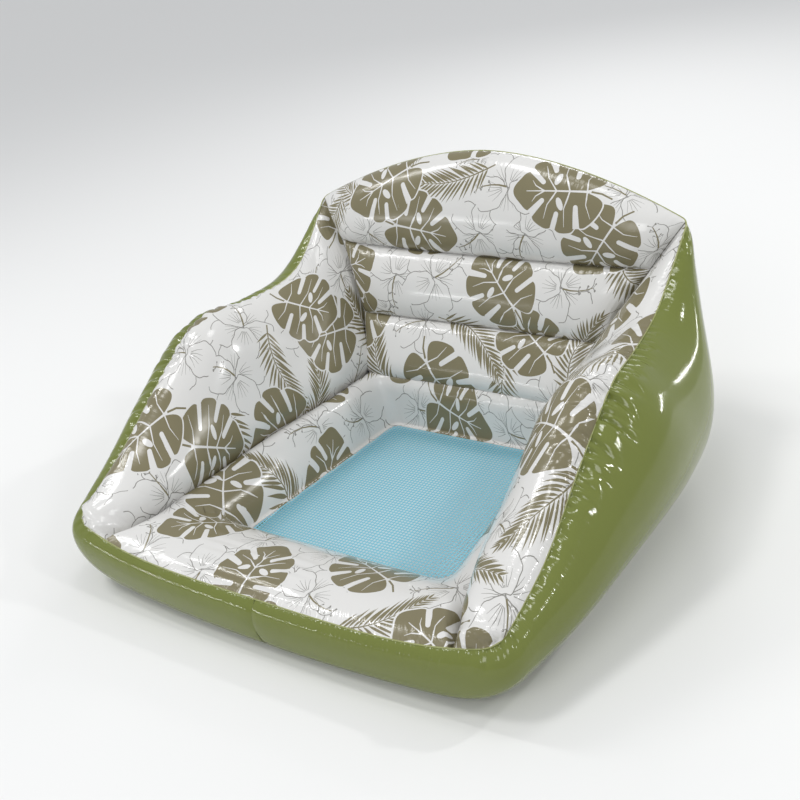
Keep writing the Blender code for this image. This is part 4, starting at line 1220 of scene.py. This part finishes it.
def printed_piece(name, grid, normals, flat, coords, seed, close, ring=False, weld_rows=()):
    """Panel of printed film: the motifs' outlines are cut into its faces."""
    panel = FlatMap(flat, grid, normals, coords, ring)
    low, high = panel.flat.min(axis=0), panel.flat.max(axis=0)
    loops = [counter_clockwise(panel.flat, loop) for loop in panel.loops]
    points = list(panel.flat[np.concatenate(loops)])
    bare = len(points)
    cells = {cell_of(point) for point in points}
    for step, wanted in ((FINE_STEP, True), (COARSE_STEP, False)):
        places = lattice(low, high, step)
        which, _, gap = panel.nearest(places)
        near = close.ravel()[panel.triangles[which, 0]]
        points += [point for point in places[(gap < TOLERANCE) & (near == wanted)]
                   if cell_of(point) not in cells]
    edges = []
    for row in weld_rows:
        inner = flat[row] if ring else flat[row, 1:-1]
        numbers = list(range(len(points), len(points) + len(inner)))
        points += list(inner)
        edges += list(zip(numbers, numbers[1:] + numbers[:1] if ring else numbers[1:]))

    motifs = print_layout(low, high, seed)
    found, triangles, top, _ = cut(points, rings_of(loops), [outline for outline, _ in motifs], edges)
    slots = np.array([WHITE_SLOT] * len(loops) + [slot for _, slot in motifs])[top]
    used, triangles = np.unique(triangles, return_inverse=True)
    triangles = triangles.reshape(-1, 3)
    found = found[used]
    lifted = panel.lift(found)
    corner = lifted[:, :3][triangles]
    facing = np.cross(corner[:, 1] - corner[:, 0], corner[:, 2] - corner[:, 0])
    order = 1 if (facing * lifted[:, 3:6][triangles[:, 0]]).sum() > 0 else -1

    # The back has the front's border, but none of the print.
    border = border_edges(triangles.tolist())
    around = [counter_clockwise(found, np.array(loop)) for loop in ordered_loops(border)]
    around.sort(key=lambda loop: -abs(signed_area(found[loop])))
    front_of = np.concatenate(around)
    more = len(front_of) - bare
    back_edges = [(a + more, b + more) for a, b in edges]
    back_found, back_triangles, _, back_source = cut(
        [*found[front_of], *points[bare:]], rings_of(around), edges=back_edges)
    back_lifted = panel.lift(back_found)
    back_lifted[:, :3] -= back_lifted[:, 3:6] * SKIN
    back_lifted[:, 3:6] *= -1
    count = len(lifted)
    behind = {int(front_of[item]): count + k for k, source in enumerate(back_source)
              for item in source if item < len(front_of)}
    faces = triangles.tolist() + (back_triangles + count)[:, ::-1].tolist()
    faces += [[b, a, behind[a], behind[b]] for a, b in border]
    face_slots = np.zeros(len(faces), dtype=np.int32)
    face_slots[:len(slots)] = slots
    everything = np.concatenate([lifted, back_lifted])
    return made(name, everything[:, :3], [face[::order] for face in faces], [WHITE, INK, LINE],
                face_slots, units(everything[:, 3:6]), everything[:, 6:8])


# The panels
CENTRE = np.array([0, 0, 0.25])
MIDDLE_GAP = 0.0001                 # from the middle to each half of the wrap
MIDDLE_GROOVE = 0.0022
WRAP_PUCKER = 0.0086
FOOT_PUCKER = 0.0032
ARM_PUCKER = 0.0060
CREASE_PUCKER = 0.0022
BACK_PUCKER = 0.0020
SEAT_PUCKER = 0.0030
WINDOW_PUCKER = 0.0004
RAIL_RIPPLE = 0.0013
WRAP_TUCK = (0.0036, 0.028)         # height and reach of each swell
ARM_CREASE_TUCK = (0.0190, 0.055)
ARM_RIM_TUCK = (0.0028, 0.026)
BACK_TUCK = (0.0110, 0.040)
SEAT_TUCK = (0.0105, 0.042)
FOLD_DEPTH = 0.0130
FOLD_WIDTH = 0.0055
FOLD_SWELL = 0.0070
SWELL_PLACE = 0.018                 # from the fold's line
SWELL_REACH = 0.010
FOLD_END = (0.60, 0.90)             # shares of its length over which it fades
FOLD_START = 0.006
CREASE_TUCK_START = (0.08, 0.22)    # arm's height over the crease, where the tuck begins
HELD_BACK = 0.020                   # from the crease behind, within which the film is held
HELD_FRONT = 0.012
SEAT_RAIL = (-0.40, -0.30)          # where the front rail ends, in y
RIPPLE_PITCH = 0.024
MIDDLE_WIDTH = 0.010
ARM_CLOSE = 0.045                   # how near a seam the panels' faces are small
PANEL_CLOSE = 0.030
GROOVE_RISE = (-0.001, 0.010)       # where the middle welds' groove starts and is full


def seam_coords(run, distance):
    return np.stack([np.broadcast_to(run, distance.shape), distance], -1)


def corner_fold(points, from_edge):
    """Depth of the groove that runs from the rim's corner to the start of the arm's crease."""
    corner = rim_point("corner", 0.5)
    way = arm_crease(0) - corner
    along = np.clip((points - corner) @ way / np.sum(way ** 2), 0, 1)
    gap = np.linalg.norm(points - corner - along[..., None] * way, axis=2)
    groove = FOLD_DEPTH * np.exp(-(gap / FOLD_WIDTH) ** 1.5)
    swell = FOLD_SWELL * np.exp(-((gap - SWELL_PLACE) / SWELL_REACH) ** 2)
    return (groove - swell) * smooth(from_edge, 0, FOLD_START) * (1 - smooth(along, *FOLD_END))


pieces, wraps = {}, {}
wrap, arm = wrap_grid(), arm_grid()
for side, valve, foot_seed, crease_seed, print_seed in (
        ("right", "upper_valve", 45, 10, 105), ("left", "base_valve", 44, 9, 104)):
    down = lengths_down(wrap)
    depth = pucker_depth(RUN, down, RIM_WRINKLES[side], WRAP_PUCKER)
    wrinkles = wrinkle_places(RUN[-1], *FOOT_SEAM, foot_seed)
    depth += pucker_depth(RUN, down[-1] - down, wrinkles, FOOT_PUCKER)
    depth += MIDDLE_GROOVE * np.exp(-np.abs(wrap[..., 0]) / MIDDLE_WIDTH) * smooth(down, *GROOVE_RISE)
    depth -= tuck(down, *WRAP_TUCK)
    grid = (wrap - grid_normals(wrap, wrap - CENTRE) * depth[..., None]) * SIDES[side]
    grid[:, [0, -1], 0] = MIDDLE_GAP * SIDES[side][0]
    grid = flattened(grid, valve)
    grid[..., 2] = np.maximum(grid[..., 2], 0)
    pieces["outer_wrap_" + side] = film_piece(
        f"outer_wrap_{side}_film", grid, grid_normals(grid, grid - CENTRE), OLIVE,
        seam_coords(RUN, down), valve=valve)
    wraps[side] = grid

    run = RUN[FRONT_STEPS:EAR_COLUMN + 1]
    down, across = lengths_down(arm), lengths_across(arm)
    up, to_back = down[-1] - down, across[:, -1:] - across
    from_edge = np.minimum(down, up)
    depth = pucker_depth(run, down, RIM_WRINKLES[side], ARM_PUCKER)
    wrinkles = wrinkle_places(across[-1, -1], *ARM_CREASE_SEAM, crease_seed)
    depth += pucker_depth(across[-1], up, wrinkles, CREASE_PUCKER)
    depth -= tuck(up, *ARM_CREASE_TUCK) * smooth(up[0], *CREASE_TUCK_START)
    depth -= tuck(down, *ARM_RIM_TUCK)
    depth += corner_fold(arm, from_edge)
    depth *= smooth(to_back, 0, HELD_BACK) * smooth(run - run[0], 0, HELD_FRONT)
    grid = drawn_in(arm - grid_normals(arm, UP) * depth[..., None]) * SIDES[side]
    middle = ARM_ROWS // 2
    flat = np.stack([np.broadcast_to(across[middle], down.shape), down[middle] - down], -1)
    nearest = np.minimum(from_edge, to_back)
    pieces["arm_panel_" + side] = printed_piece(
        f"arm_panel_{side}_film", grid, grid_normals(grid, UP), flat, seam_coords(run, nearest),
        print_seed, nearest < ARM_CLOSE)

whole = joined(backrest_grid())
down, across = lengths_down(whole), lengths_across(whole)
up = down[-1] - down
across -= across[:, across.shape[1] // 2][:, None]
to_side = across[:, -1:] - np.abs(across)
half_run = RUN[-1] - RUN[EAR_COLUMN:][::-1]
run = np.concatenate([-half_run[:0:-1], half_run])
depth = np.zeros_like(down)
for side in SIDES:
    wrinkles = [(SIDES[side][0] * (RUN[-1] - at), *rest) for at, *rest in RIM_WRINKLES[side]
                if at > RUN[EAR_COLUMN]]
    depth += pucker_depth(run, down, wrinkles, BACK_PUCKER)
nearest = np.minimum(np.minimum(down, up), to_side)
for weld in (1, 2):
    gap = np.abs(down - down[weld * ROLL_ROWS])
    weld_run = across[weld * ROLL_ROWS]
    end = weld_run[-1]
    wrinkles = wrinkle_places(
        2 * end, 0.020, 0.8, lambda at: 0.35 + 0.9 * smooth(abs(at - end), end * 0.45, end * 0.95),
        60 + weld)
    wrinkles = [(at - end, *rest) for at, *rest in wrinkles]
    depth += pucker_depth(weld_run, gap, wrinkles, CREASE_PUCKER)
    nearest = np.minimum(nearest, gap)
depth -= tuck(up, *BACK_TUCK)
depth *= smooth(to_side, 0, HELD_BACK)
back_surface = drawn_in(whole - grid_normals(whole, FORWARD) * depth[..., None])
pieces["backrest_panel"] = printed_piece(
    "backrest_panel_film", back_surface, grid_normals(back_surface, FORWARD),
    np.stack([across, up], -1), seam_coords(run, nearest), 7, nearest < PANEL_CLOSE,
    weld_rows=(ROLL_ROWS, 2 * ROLL_ROWS))

whole = joined(seat_grid())[:, :-1]
down = lengths_down(whole)
up = down[-1] - down
outward = units((whole[-1] - whole[0])[:, :2])
flat = whole[0, :, :2] + outward * down[..., None]
around, window_run = run_of(whole[-1]), run_of(whole[2])
edge_wrinkles = wrinkle_places(around[-1], *SEAT_EDGE_SEAM, 71)
window_wrinkles = wrinkle_places(window_run[-1], *WINDOW_SEAM, 72)
off_rail = smooth(whole[-1, :, 1], *SEAT_RAIL)
depth = pucker_depth(around, up, edge_wrinkles, SEAT_PUCKER) * (0.2 + 0.8 * off_rail)
depth += pucker_depth(window_run, down - FLANGE, window_wrinkles, WINDOW_PUCKER)

# Ripples along the front rail, in patches and not at its ends
ripple = np.sin(2 * np.pi * up / RIPPLE_PITCH + 1.6 * np.sin(5 * around)) * smooth(up, 0.006, 0.02)
ripple *= (1 - off_rail) * (1 - smooth(np.abs(whole[-1, :, 0]), 0.22, 0.36))
ripple *= (1 - smooth(up, 0.10, 0.14)) * smooth(np.sin(11 * around), -0.6, 0.5)
depth += RAIL_RIPPLE * ripple - tuck(up, *SEAT_TUCK) * off_rail
grid = drawn_in(whole - grid_normals(whole, UP, ring=True) * depth[..., None])
nearest = np.minimum(up, np.maximum(down - FLANGE, 0))
pieces["seat_panel"] = printed_piece(
    "seat_panel_film", grid, grid_normals(grid, UP, ring=True), flat, seam_coords(around, nearest),
    19, nearest < PANEL_CLOSE, ring=True, weld_rows=(2, 3, 4))

whole = joined(base_grid())[:, :-1:BASE_COLUMN_STEP]
pieces["base_panel"] = film_piece("base_panel_film", whole, grid_normals(whole, -UP, ring=True), OLIVE,
                                  ring=True)
for name, piece in pieces.items():
    dress(piece,
          node_name=name)

# Seams: a welded edge round the rim, coloured paler than the olive film as a painted highlight along it,
# and beads in the creases, coloured dark as painted shade of the tight folds
RIM_BEAD = 0.0016
RIM_AIM = 0.1                       # height that the rim's bead faces away from
CREASE_BEAD = 0.0011
MIDDLE_BEAD = 0.0013
rim = np.concatenate([(RIM * MIRROR)[:0:-1], RIM])[:-1]
rim_way = (rim - UP * RIM_AIM) * np.array([1, 1, 0.8])
# The rim's bead is paler olive: a painted highlight along the welded edge.
dress(tube("rim_seam", rim, RIM_BEAD, OLIVE_SEAM_PAINTED_HIGHLIGHT, rim_way, closed=True, flat=0.55))
# Crease, first and last share, steps, way that the weld faces and side of the chair
for name, crease, low, high, steps, way, turn in (
        ("arm_crease_right", arm_crease, 0.14, 0.97, 200, UP, SIDES["right"]),
        ("side_crease_right", side_crease, 0.0, 0.96, 120, FORWARD, SIDES["right"]),
        ("arm_crease_left", arm_crease, 0.14, 0.97, 200, UP, SIDES["left"]),
        ("side_crease_left", side_crease, 0.0, 0.96, 120, FORWARD, SIDES["left"]),
        ("back_crease", back_crease, -0.96, 0.96, 160, UP, SIDES["right"])):
    line = np.array([crease(share) for share in low + (high - low) * even_shares(steps)])
    # Each crease bead is coloured dark as painted shade along its fold.
    dress(tube(name, drawn_in(line * turn), CREASE_BEAD, CREASE_WELD_PAINTED_SHADE, way))
for name, column, strip in (("front_weld", 0, wrap[:, :3]), ("back_weld", -1, wrap[:, -3:])):
    out = grid_normals(strip, strip - CENTRE)[:, column]
    groove = MIDDLE_GROOVE * smooth(lengths_down(wrap)[:, column], *GROOVE_RISE)
    path = wrap[:, column] * np.array([0, 1, 1]) - out * groove[:, None]
    dress(tube(name, path, MIDDLE_BEAD, OLIVE_WELD, out, flat=0.5))

# The net, its tape and its welds
MESH_PITCH = 0.0072
YARN_WIDTH = 0.0027
YARN_HEIGHT = 0.00036
ACROSS_LEVEL = NET_LEVEL - 0.00057
ALONG_LEVEL = NET_LEVEL - 0.00025
MARK_PITCH = 0.0095
MARK_LENGTH = 0.0056
MARK_WIDTH = 0.0016
MARK_HEIGHT = 0.0005
MARK_SLOPE = 0.0006
MARK_PLACE = FLANGE * 0.45
BORDER = FLANGE * NET_BORDER_SHARE
NO_CORNER = -10                     # an end too far off to have a corner


def cut_back(place, first, last, radius):
    """How much a rounded corner takes off a line that runs this far from the two ends."""
    near = min(place - first, last - place)
    return radius - math.sqrt(max(radius ** 2 - (radius - near) ** 2, 0)) if near < radius else 0.0


def yarn_lines():
    """Start and end of each yarn, across and then along the net."""
    front, back = NET_FRONT_Y - BORDER, NET_BACK_Y + BORDER
    front_half, back_half = NET_FRONT_HALF_WIDTH + BORDER, NET_BACK_HALF_WIDTH + BORDER
    radius = WINDOW_RADIUS + BORDER
    across, along = [], []
    for k in range(int((back - front) / MESH_PITCH)):
        y = front + (k + 0.5) * MESH_PITCH
        half = front_half + (back_half - front_half) * (y - front) / (back - front)
        half -= cut_back(y, front, back, radius)
        across.append(((-half, y), (half, y)))
    count = int(2 * front_half / MESH_PITCH)
    for k in range(count):
        x = (k + 0.5 - count / 2) * MESH_PITCH
        end = back
        if abs(x) < back_half:
            end -= cut_back(abs(x), NO_CORNER, back_half, radius)
        if abs(x) > back_half - radius:
            end = min(end, front + (back - front) * (front_half - abs(x)) / (front_half - back_half))
        start = front + cut_back(abs(x), NO_CORNER, front_half, radius)
        if end - start > MESH_PITCH:
            along.append(((x, start), (x, end)))
    return across, along


def bars(name, boxes, material):
    """Closed bars, each from the four corners of its one end and of its other."""
    faces = []
    for first in range(0, 8 * len(boxes), 8):
        faces += [(first + k, first + (k + 1) % 4, first + 4 + (k + 1) % 4, first + 4 + k)
                  for k in range(4)]
        faces += [(first + 3, first + 2, first + 1, first), (first + 4, first + 5, first + 6, first + 7)]
    return made(name, np.concatenate(boxes), faces, [material])


yarns = []
for lines, level in zip(yarn_lines(), (ACROSS_LEVEL, ALONG_LEVEL)):
    for ends in np.array(lines):
        side = np.array([*quarter_turned(unit(ends[1] - ends[0])), 0]) * YARN_WIDTH / 2
        rise = UP * YARN_HEIGHT / 2
        yarns.append([np.array([*end, level]) + offset for end in ends
                      for offset in (side, -rise, -side, rise)])
net = bars("seat_net_mesh", yarns, NET)
net.data.shade_flat()
dress(net, node_name="seat_net")
width = 2 * (NET_FRONT_HALF_WIDTH + BORDER)

track = [window_point(*place, MARK_PLACE, NET_LEVEL + SHEET_STEP + SKIN) for _, place in seat_pairs()]
track = joined(np.array([track]))[0, :-1]
run = run_of(track)
marks = []
for k in range(int(run[-1] / MARK_PITCH)):
    ends = at_length(k * MARK_PITCH + np.array([0, MARK_LENGTH]), run, track)
    way = unit(ends[1] - ends[0])
    side = np.cross(UP, way) * MARK_WIDTH / 2
    marks.append([end + offset for end, pull in zip(ends, (way, -way)) for offset in (
        -side, side, side * 0.5 + UP * MARK_HEIGHT + pull * MARK_SLOPE,
        -side * 0.5 + UP * MARK_HEIGHT + pull * MARK_SLOPE)])
dress(bars("net_weld_marks", marks, WHITE_SEAM))

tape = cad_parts["net_border_tape"]
tape.data.materials.clear()
tape.data.materials.append(WHITE_SEAM)

# The webs inside the chambers, each a little short of the film that it holds
WEB_CLEAR = 0.0022
ARM_WEB = (0.10, 0.78)              # start and length of the arm web, as shares of the side crease
EAR_WEB = (0.10, 0.45)              # and as shares of the wrap at the ear


def web_film(name, front, rear):
    """Sheet between two lines, drawn in a little from both."""
    trim = WEB_CLEAR * units(rear - front)
    shares = np.linspace(0, 1, 5)[:, None, None]
    grid = (front + trim)[None] * (1 - shares) + (rear - trim)[None] * shares
    dress(film_piece(name + "_film", grid, grid_normals(grid), WEB), node_name=name)


divider_row = round(WRAP_ROWS * (CAD_DIVIDER_ROW / CAD_WRAP_STEPS) ** (1 / WRAP_CROWDING))
divider_columns = slice(FRONT_STEPS + EDGE_STEPS + CORNER_STEPS // 3, EAR_COLUMN + 1, 6)
arm_shares = (RUN[divider_columns] - RUN[FRONT_STEPS]) / (RUN[EAR_COLUMN] - RUN[FRONT_STEPS])
back_shares = (RUN[-1] - RUN[EAR_COLUMN:]) / (RUN[-1] - RUN[EAR_COLUMN])
heights = np.linspace(0, 1, 13)
ear_rows = WRAP_ROWS * (EAR_WEB[0] + EAR_WEB[1] * heights) ** (1 / WRAP_CROWDING)
back_lines = {}
for side, turn in SIDES.items():
    surface = wraps[side]
    creases = [drawn_in(np.array([crease(share) for share in shares]) * turn) for crease, shares in (
        (arm_crease, arm_shares), (side_crease, ARM_WEB[0] + ARM_WEB[1] * heights),
        (back_crease, back_shares))]
    web_film("divider_web_" + side, creases[0], surface[divider_row, divider_columns])
    web_film("arm_web_" + side, creases[1],
             at_length(ear_rows, range(WRAP_ROWS + 1), surface[:, EAR_COLUMN]))
    back_lines[side] = creases[2], surface[divider_row, EAR_COLUMN:]
web_film("divider_web_back", *(np.concatenate([left[:-1], right[::-1]])[::3]
                               for left, right in zip(back_lines["left"], back_lines["right"])))
for name, weld in (("upper", 1), ("lower", 2)):
    columns = np.arange(-ARCH_STEPS, ARCH_STEPS + 1, 4)
    front = back_surface[weld * ROLL_ROWS, back_surface.shape[1] // 2 + columns]
    lines = [wraps["right" if k > 0 else "left"][::-1, -1 - abs(k)] for k in columns]
    rear = np.array([at_length(point[2], line[:, 2], line) for point, line in zip(front, lines)])
    web_film("backrest_baffle_" + name, front, rear)

# The valves
VALVE_LIFT = 0.0007
VALVE_BORE = 0.0070
COLLAR = VALVE_BORE + 0.0014
COLLAR_DEPTH = 0.0080
FLANGE_RADIUS = 0.0165
FLANGE_TOP = VALVE_LIFT + 0.0011
FLANGE_LOW = VALVE_LIFT - 0.0006
FLANGE_FACE = VALVE_LIFT + SKIN
FLANGE_RING = 0.0003
STEM_RADIUS = 0.0064
STEM_BORE = 0.0043
STEM_DEPTH = 0.021
LIP_RADIUS = 0.0092
VALVE_GAP = 0.0003
LIP_LOW = FLANGE_TOP + VALVE_GAP
LIP_TOP = LIP_LOW + 0.0014
PLUG_RADIUS = 0.0039
PLUG_DEPTH = 0.0065
HEAD_RADIUS = 0.0068
HEAD_LOW = LIP_TOP + VALVE_GAP
HEAD_TOP = HEAD_LOW + 0.0020
HEAD_DISH = HEAD_TOP - 0.0005
TETHER_BEAD = 0.0011
TETHER_REACH = 0.0110
TETHER_RISE = 0.0060
LATHE_STEPS = 64

# Radius and height of each corner, and how far the corners are rounded
FLANGE_OUTLINE = ((
    (VALVE_BORE, FLANGE_TOP), (VALVE_BORE, -COLLAR_DEPTH), (COLLAR, -COLLAR_DEPTH),
    (COLLAR, FLANGE_LOW), (FLANGE_RADIUS, FLANGE_LOW), (FLANGE_RADIUS, FLANGE_FACE),
    (FLANGE_RADIUS - 0.0022, FLANGE_FACE + FLANGE_RING), (FLANGE_RADIUS - 0.0034, FLANGE_FACE),
    (COLLAR + 0.0012, FLANGE_TOP - 0.0003), (COLLAR, FLANGE_TOP)), 0.0003)
STEM_OUTLINE = ((
    (STEM_BORE, LIP_TOP), (STEM_BORE, -STEM_DEPTH), (STEM_RADIUS - 0.0005, -STEM_DEPTH),
    (STEM_RADIUS, -STEM_DEPTH + 0.003), (STEM_RADIUS, LIP_LOW), (LIP_RADIUS, LIP_LOW),
    (LIP_RADIUS, LIP_TOP)), 0.0005)
PLUG_OUTLINE = ((
    (0, HEAD_DISH), (0, -PLUG_DEPTH), (PLUG_RADIUS - 0.0007, -PLUG_DEPTH),
    (PLUG_RADIUS, -PLUG_DEPTH * 0.5), (PLUG_RADIUS, HEAD_LOW), (HEAD_RADIUS, HEAD_LOW),
    (HEAD_RADIUS, HEAD_TOP - 0.0006), (HEAD_RADIUS * 0.70, HEAD_TOP),
    (HEAD_RADIUS * 0.52, HEAD_TOP), (HEAD_RADIUS * 0.44, HEAD_DISH)), 0.0005)


def rounded(outline, radius):
    """Closed outline whose corners are rounded, each by at most a third of its shorter side."""
    outline = np.array(outline)
    out = []
    for before, corner, after in zip(np.roll(outline, 1, axis=0), outline, np.roll(outline, -1, axis=0)):
        if corner[0] == 0:
            out.append(corner)
            continue
        trim = min(radius, np.linalg.norm(before - corner) / 3, np.linalg.norm(after - corner) / 3)
        start, end = (corner + unit(other - corner) * trim for other in (before, after))
        out += [bend(start, corner, end, share) for share in even_shares(3)]
    return np.array(out)


def lathe(name, outline, valve, material):
    """Closed outline of radius and height pairs, turned round a valve's axis."""
    centre, axes = VALVES[valve]
    circle = circle_of(LATHE_STEPS)[:, None] * outline[:, :1]
    heights = np.broadcast_to(outline[:, 1:], (*circle.shape[:2], 1))
    index = numbered(LATHE_STEPS, len(outline))
    on_axis = outline[:, 0] == 0
    index[:, on_axis] = index[0, on_axis]
    faces = [list(dict.fromkeys(face)) for face in quads_of(index, True, True).tolist()]
    used, faces = compact([face for face in faces if len(face) > 2])
    order = 1 if signed_area(outline) > 0 else -1
    points = centre + np.concatenate([circle, heights], axis=2).reshape(-1, 3)[used] @ axes
    return made(name, points, [face[::order] for face in faces], [material])


for valve, body in (("upper_valve", "upper"), ("base_valve", "base")):
    centre, axes = VALVES[valve]
    stem_body, plug_body = body + "_stem", body + "_plug"
    for part, outline, owner, material, slot in (
            ("flange", FLANGE_OUTLINE, "chair", VALVE, "valve_vinyl"),
            ("stem", STEM_OUTLINE, stem_body, STEM, "valve_stem_vinyl"),
            ("plug", PLUG_OUTLINE, plug_body, STEM, "valve_stem_vinyl")):
        piece = lathe(f"{valve}_{part}_body", rounded(*outline), valve, material)
        dress(piece, owner, valve + "_" + part)
    start = np.array([LIP_RADIUS - VALVE_GAP, 0.0, (LIP_LOW + LIP_TOP) / 2])
    end = np.array([HEAD_RADIUS - VALVE_GAP, 0.0, (HEAD_LOW + HEAD_TOP) / 2])
    loop = (start, start + np.array([TETHER_REACH, 0, 0]),
            end + np.array([TETHER_REACH, 0, TETHER_RISE]), end)
    path = centre + bezier(loop, even_shares(28)[:, None]) @ axes
    strap = tube(valve + "_tether_strap", path, TETHER_BEAD, STEM, axes[1], flat=0.55)
    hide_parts(valve + "_tether")
    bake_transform(strap)

# Floor, light and camera
mesh = bpy.data.meshes.new("floor")
mesh.from_pydata([(-30, -30, 0), (30, -30, 0), (30, 30, 0), (-30, 30, 0)], [], [(0, 1, 2, 3)])
mesh.materials.append(shader_of("floor", (0.80, 0.80, 0.79), 0.8)[0])
linked("floor", mesh)


def aimed(name, kind, way, place=(0, 0, 0), **settings):
    """Lamp of a kind at a place, shining along a way."""
    data = bpy.data.lights.new(name, kind)
    for setting, value in settings.items():
        setattr(data, setting, value)
    turn = Vector(way).to_track_quat("-Z", "Y").to_matrix().to_4x4()
    linked(name, data).matrix_world = Matrix.Translation(Vector(place)) @ turn


# Place, target, width, height and power of each panel of light
for name, place, target, width, height, power in (
        ("right_back", (2.1, 1.5, 2.3), (0.3, 0, 0.2), 0.14, 0.18, 16),
        ("right", (3.0, -0.1, 2.7), (0.3, 0, 0.2), 0.06, 0.60, 16),
        ("left", (-2.3, -0.4, 2.5), (0, 0, 0.2), 0.12, 1.2, 19),
        ("top", (0.0, 0.3, 3.2), (0, 0, 0.2), 0.6, 0.6, 7),
        ("back", (-0.9, 3.1, 1.9), (0, 0.3, 0.3), 1.0, 0.5, 15),
        ("low_back", (1.9, 2.9, 0.7), (0, 0.4, 0.2), 0.9, 0.05, 6),
        ("front", (0.8, -3.0, 2.4), (0, 0, 0.2), 1.4, 1.0, 22),
        ("low_front", (-2.7, -3.1, 0.62), (0, -0.4, 0.1), 1.7, 0.04, 12)):
    aimed(name, "AREA", Vector(target) - Vector(place), place, shape="RECTANGLE", size=width,
          size_y=height, energy=power)
aimed("sun", "SUN", (0.35, 0.25, -1.0), energy=0.52, angle=0.2)
world = bpy.data.worlds.new("world")
bpy.context.scene.world = world
world.use_nodes = True
sky = world.node_tree.nodes["Background"].inputs
sky["Color"].default_value = (0.95, 0.97, 1.0, 1)
sky["Strength"].default_value = 0.58
bpy.context.scene.view_settings.view_transform = "Standard"

CAMERA_PLACE = np.array([1.2804, -1.5384, 1.3066]) + SHIFT
CAMERA_TARGET = np.array([0.0137, 0.0, 0.2415]) + SHIFT
CAMERA_ROLL = math.radians(-10.9614)
ahead = unit(CAMERA_TARGET - CAMERA_PLACE)
right = unit(np.cross(ahead, UP))
above = np.cross(right, ahead)
across = right * math.cos(CAMERA_ROLL) + above * math.sin(CAMERA_ROLL)
upward = -right * math.sin(CAMERA_ROLL) + above * math.cos(CAMERA_ROLL)
data = bpy.data.cameras.new("camera")
data.lens = 53.49
data.sensor_width = 36.0
camera = linked("camera", data)
turn = Matrix((across, upward, -ahead)).transposed().to_4x4()
camera.matrix_world = Matrix.Translation(Vector(CAMERA_PLACE)) @ turn
bpy.context.scene.camera = camera
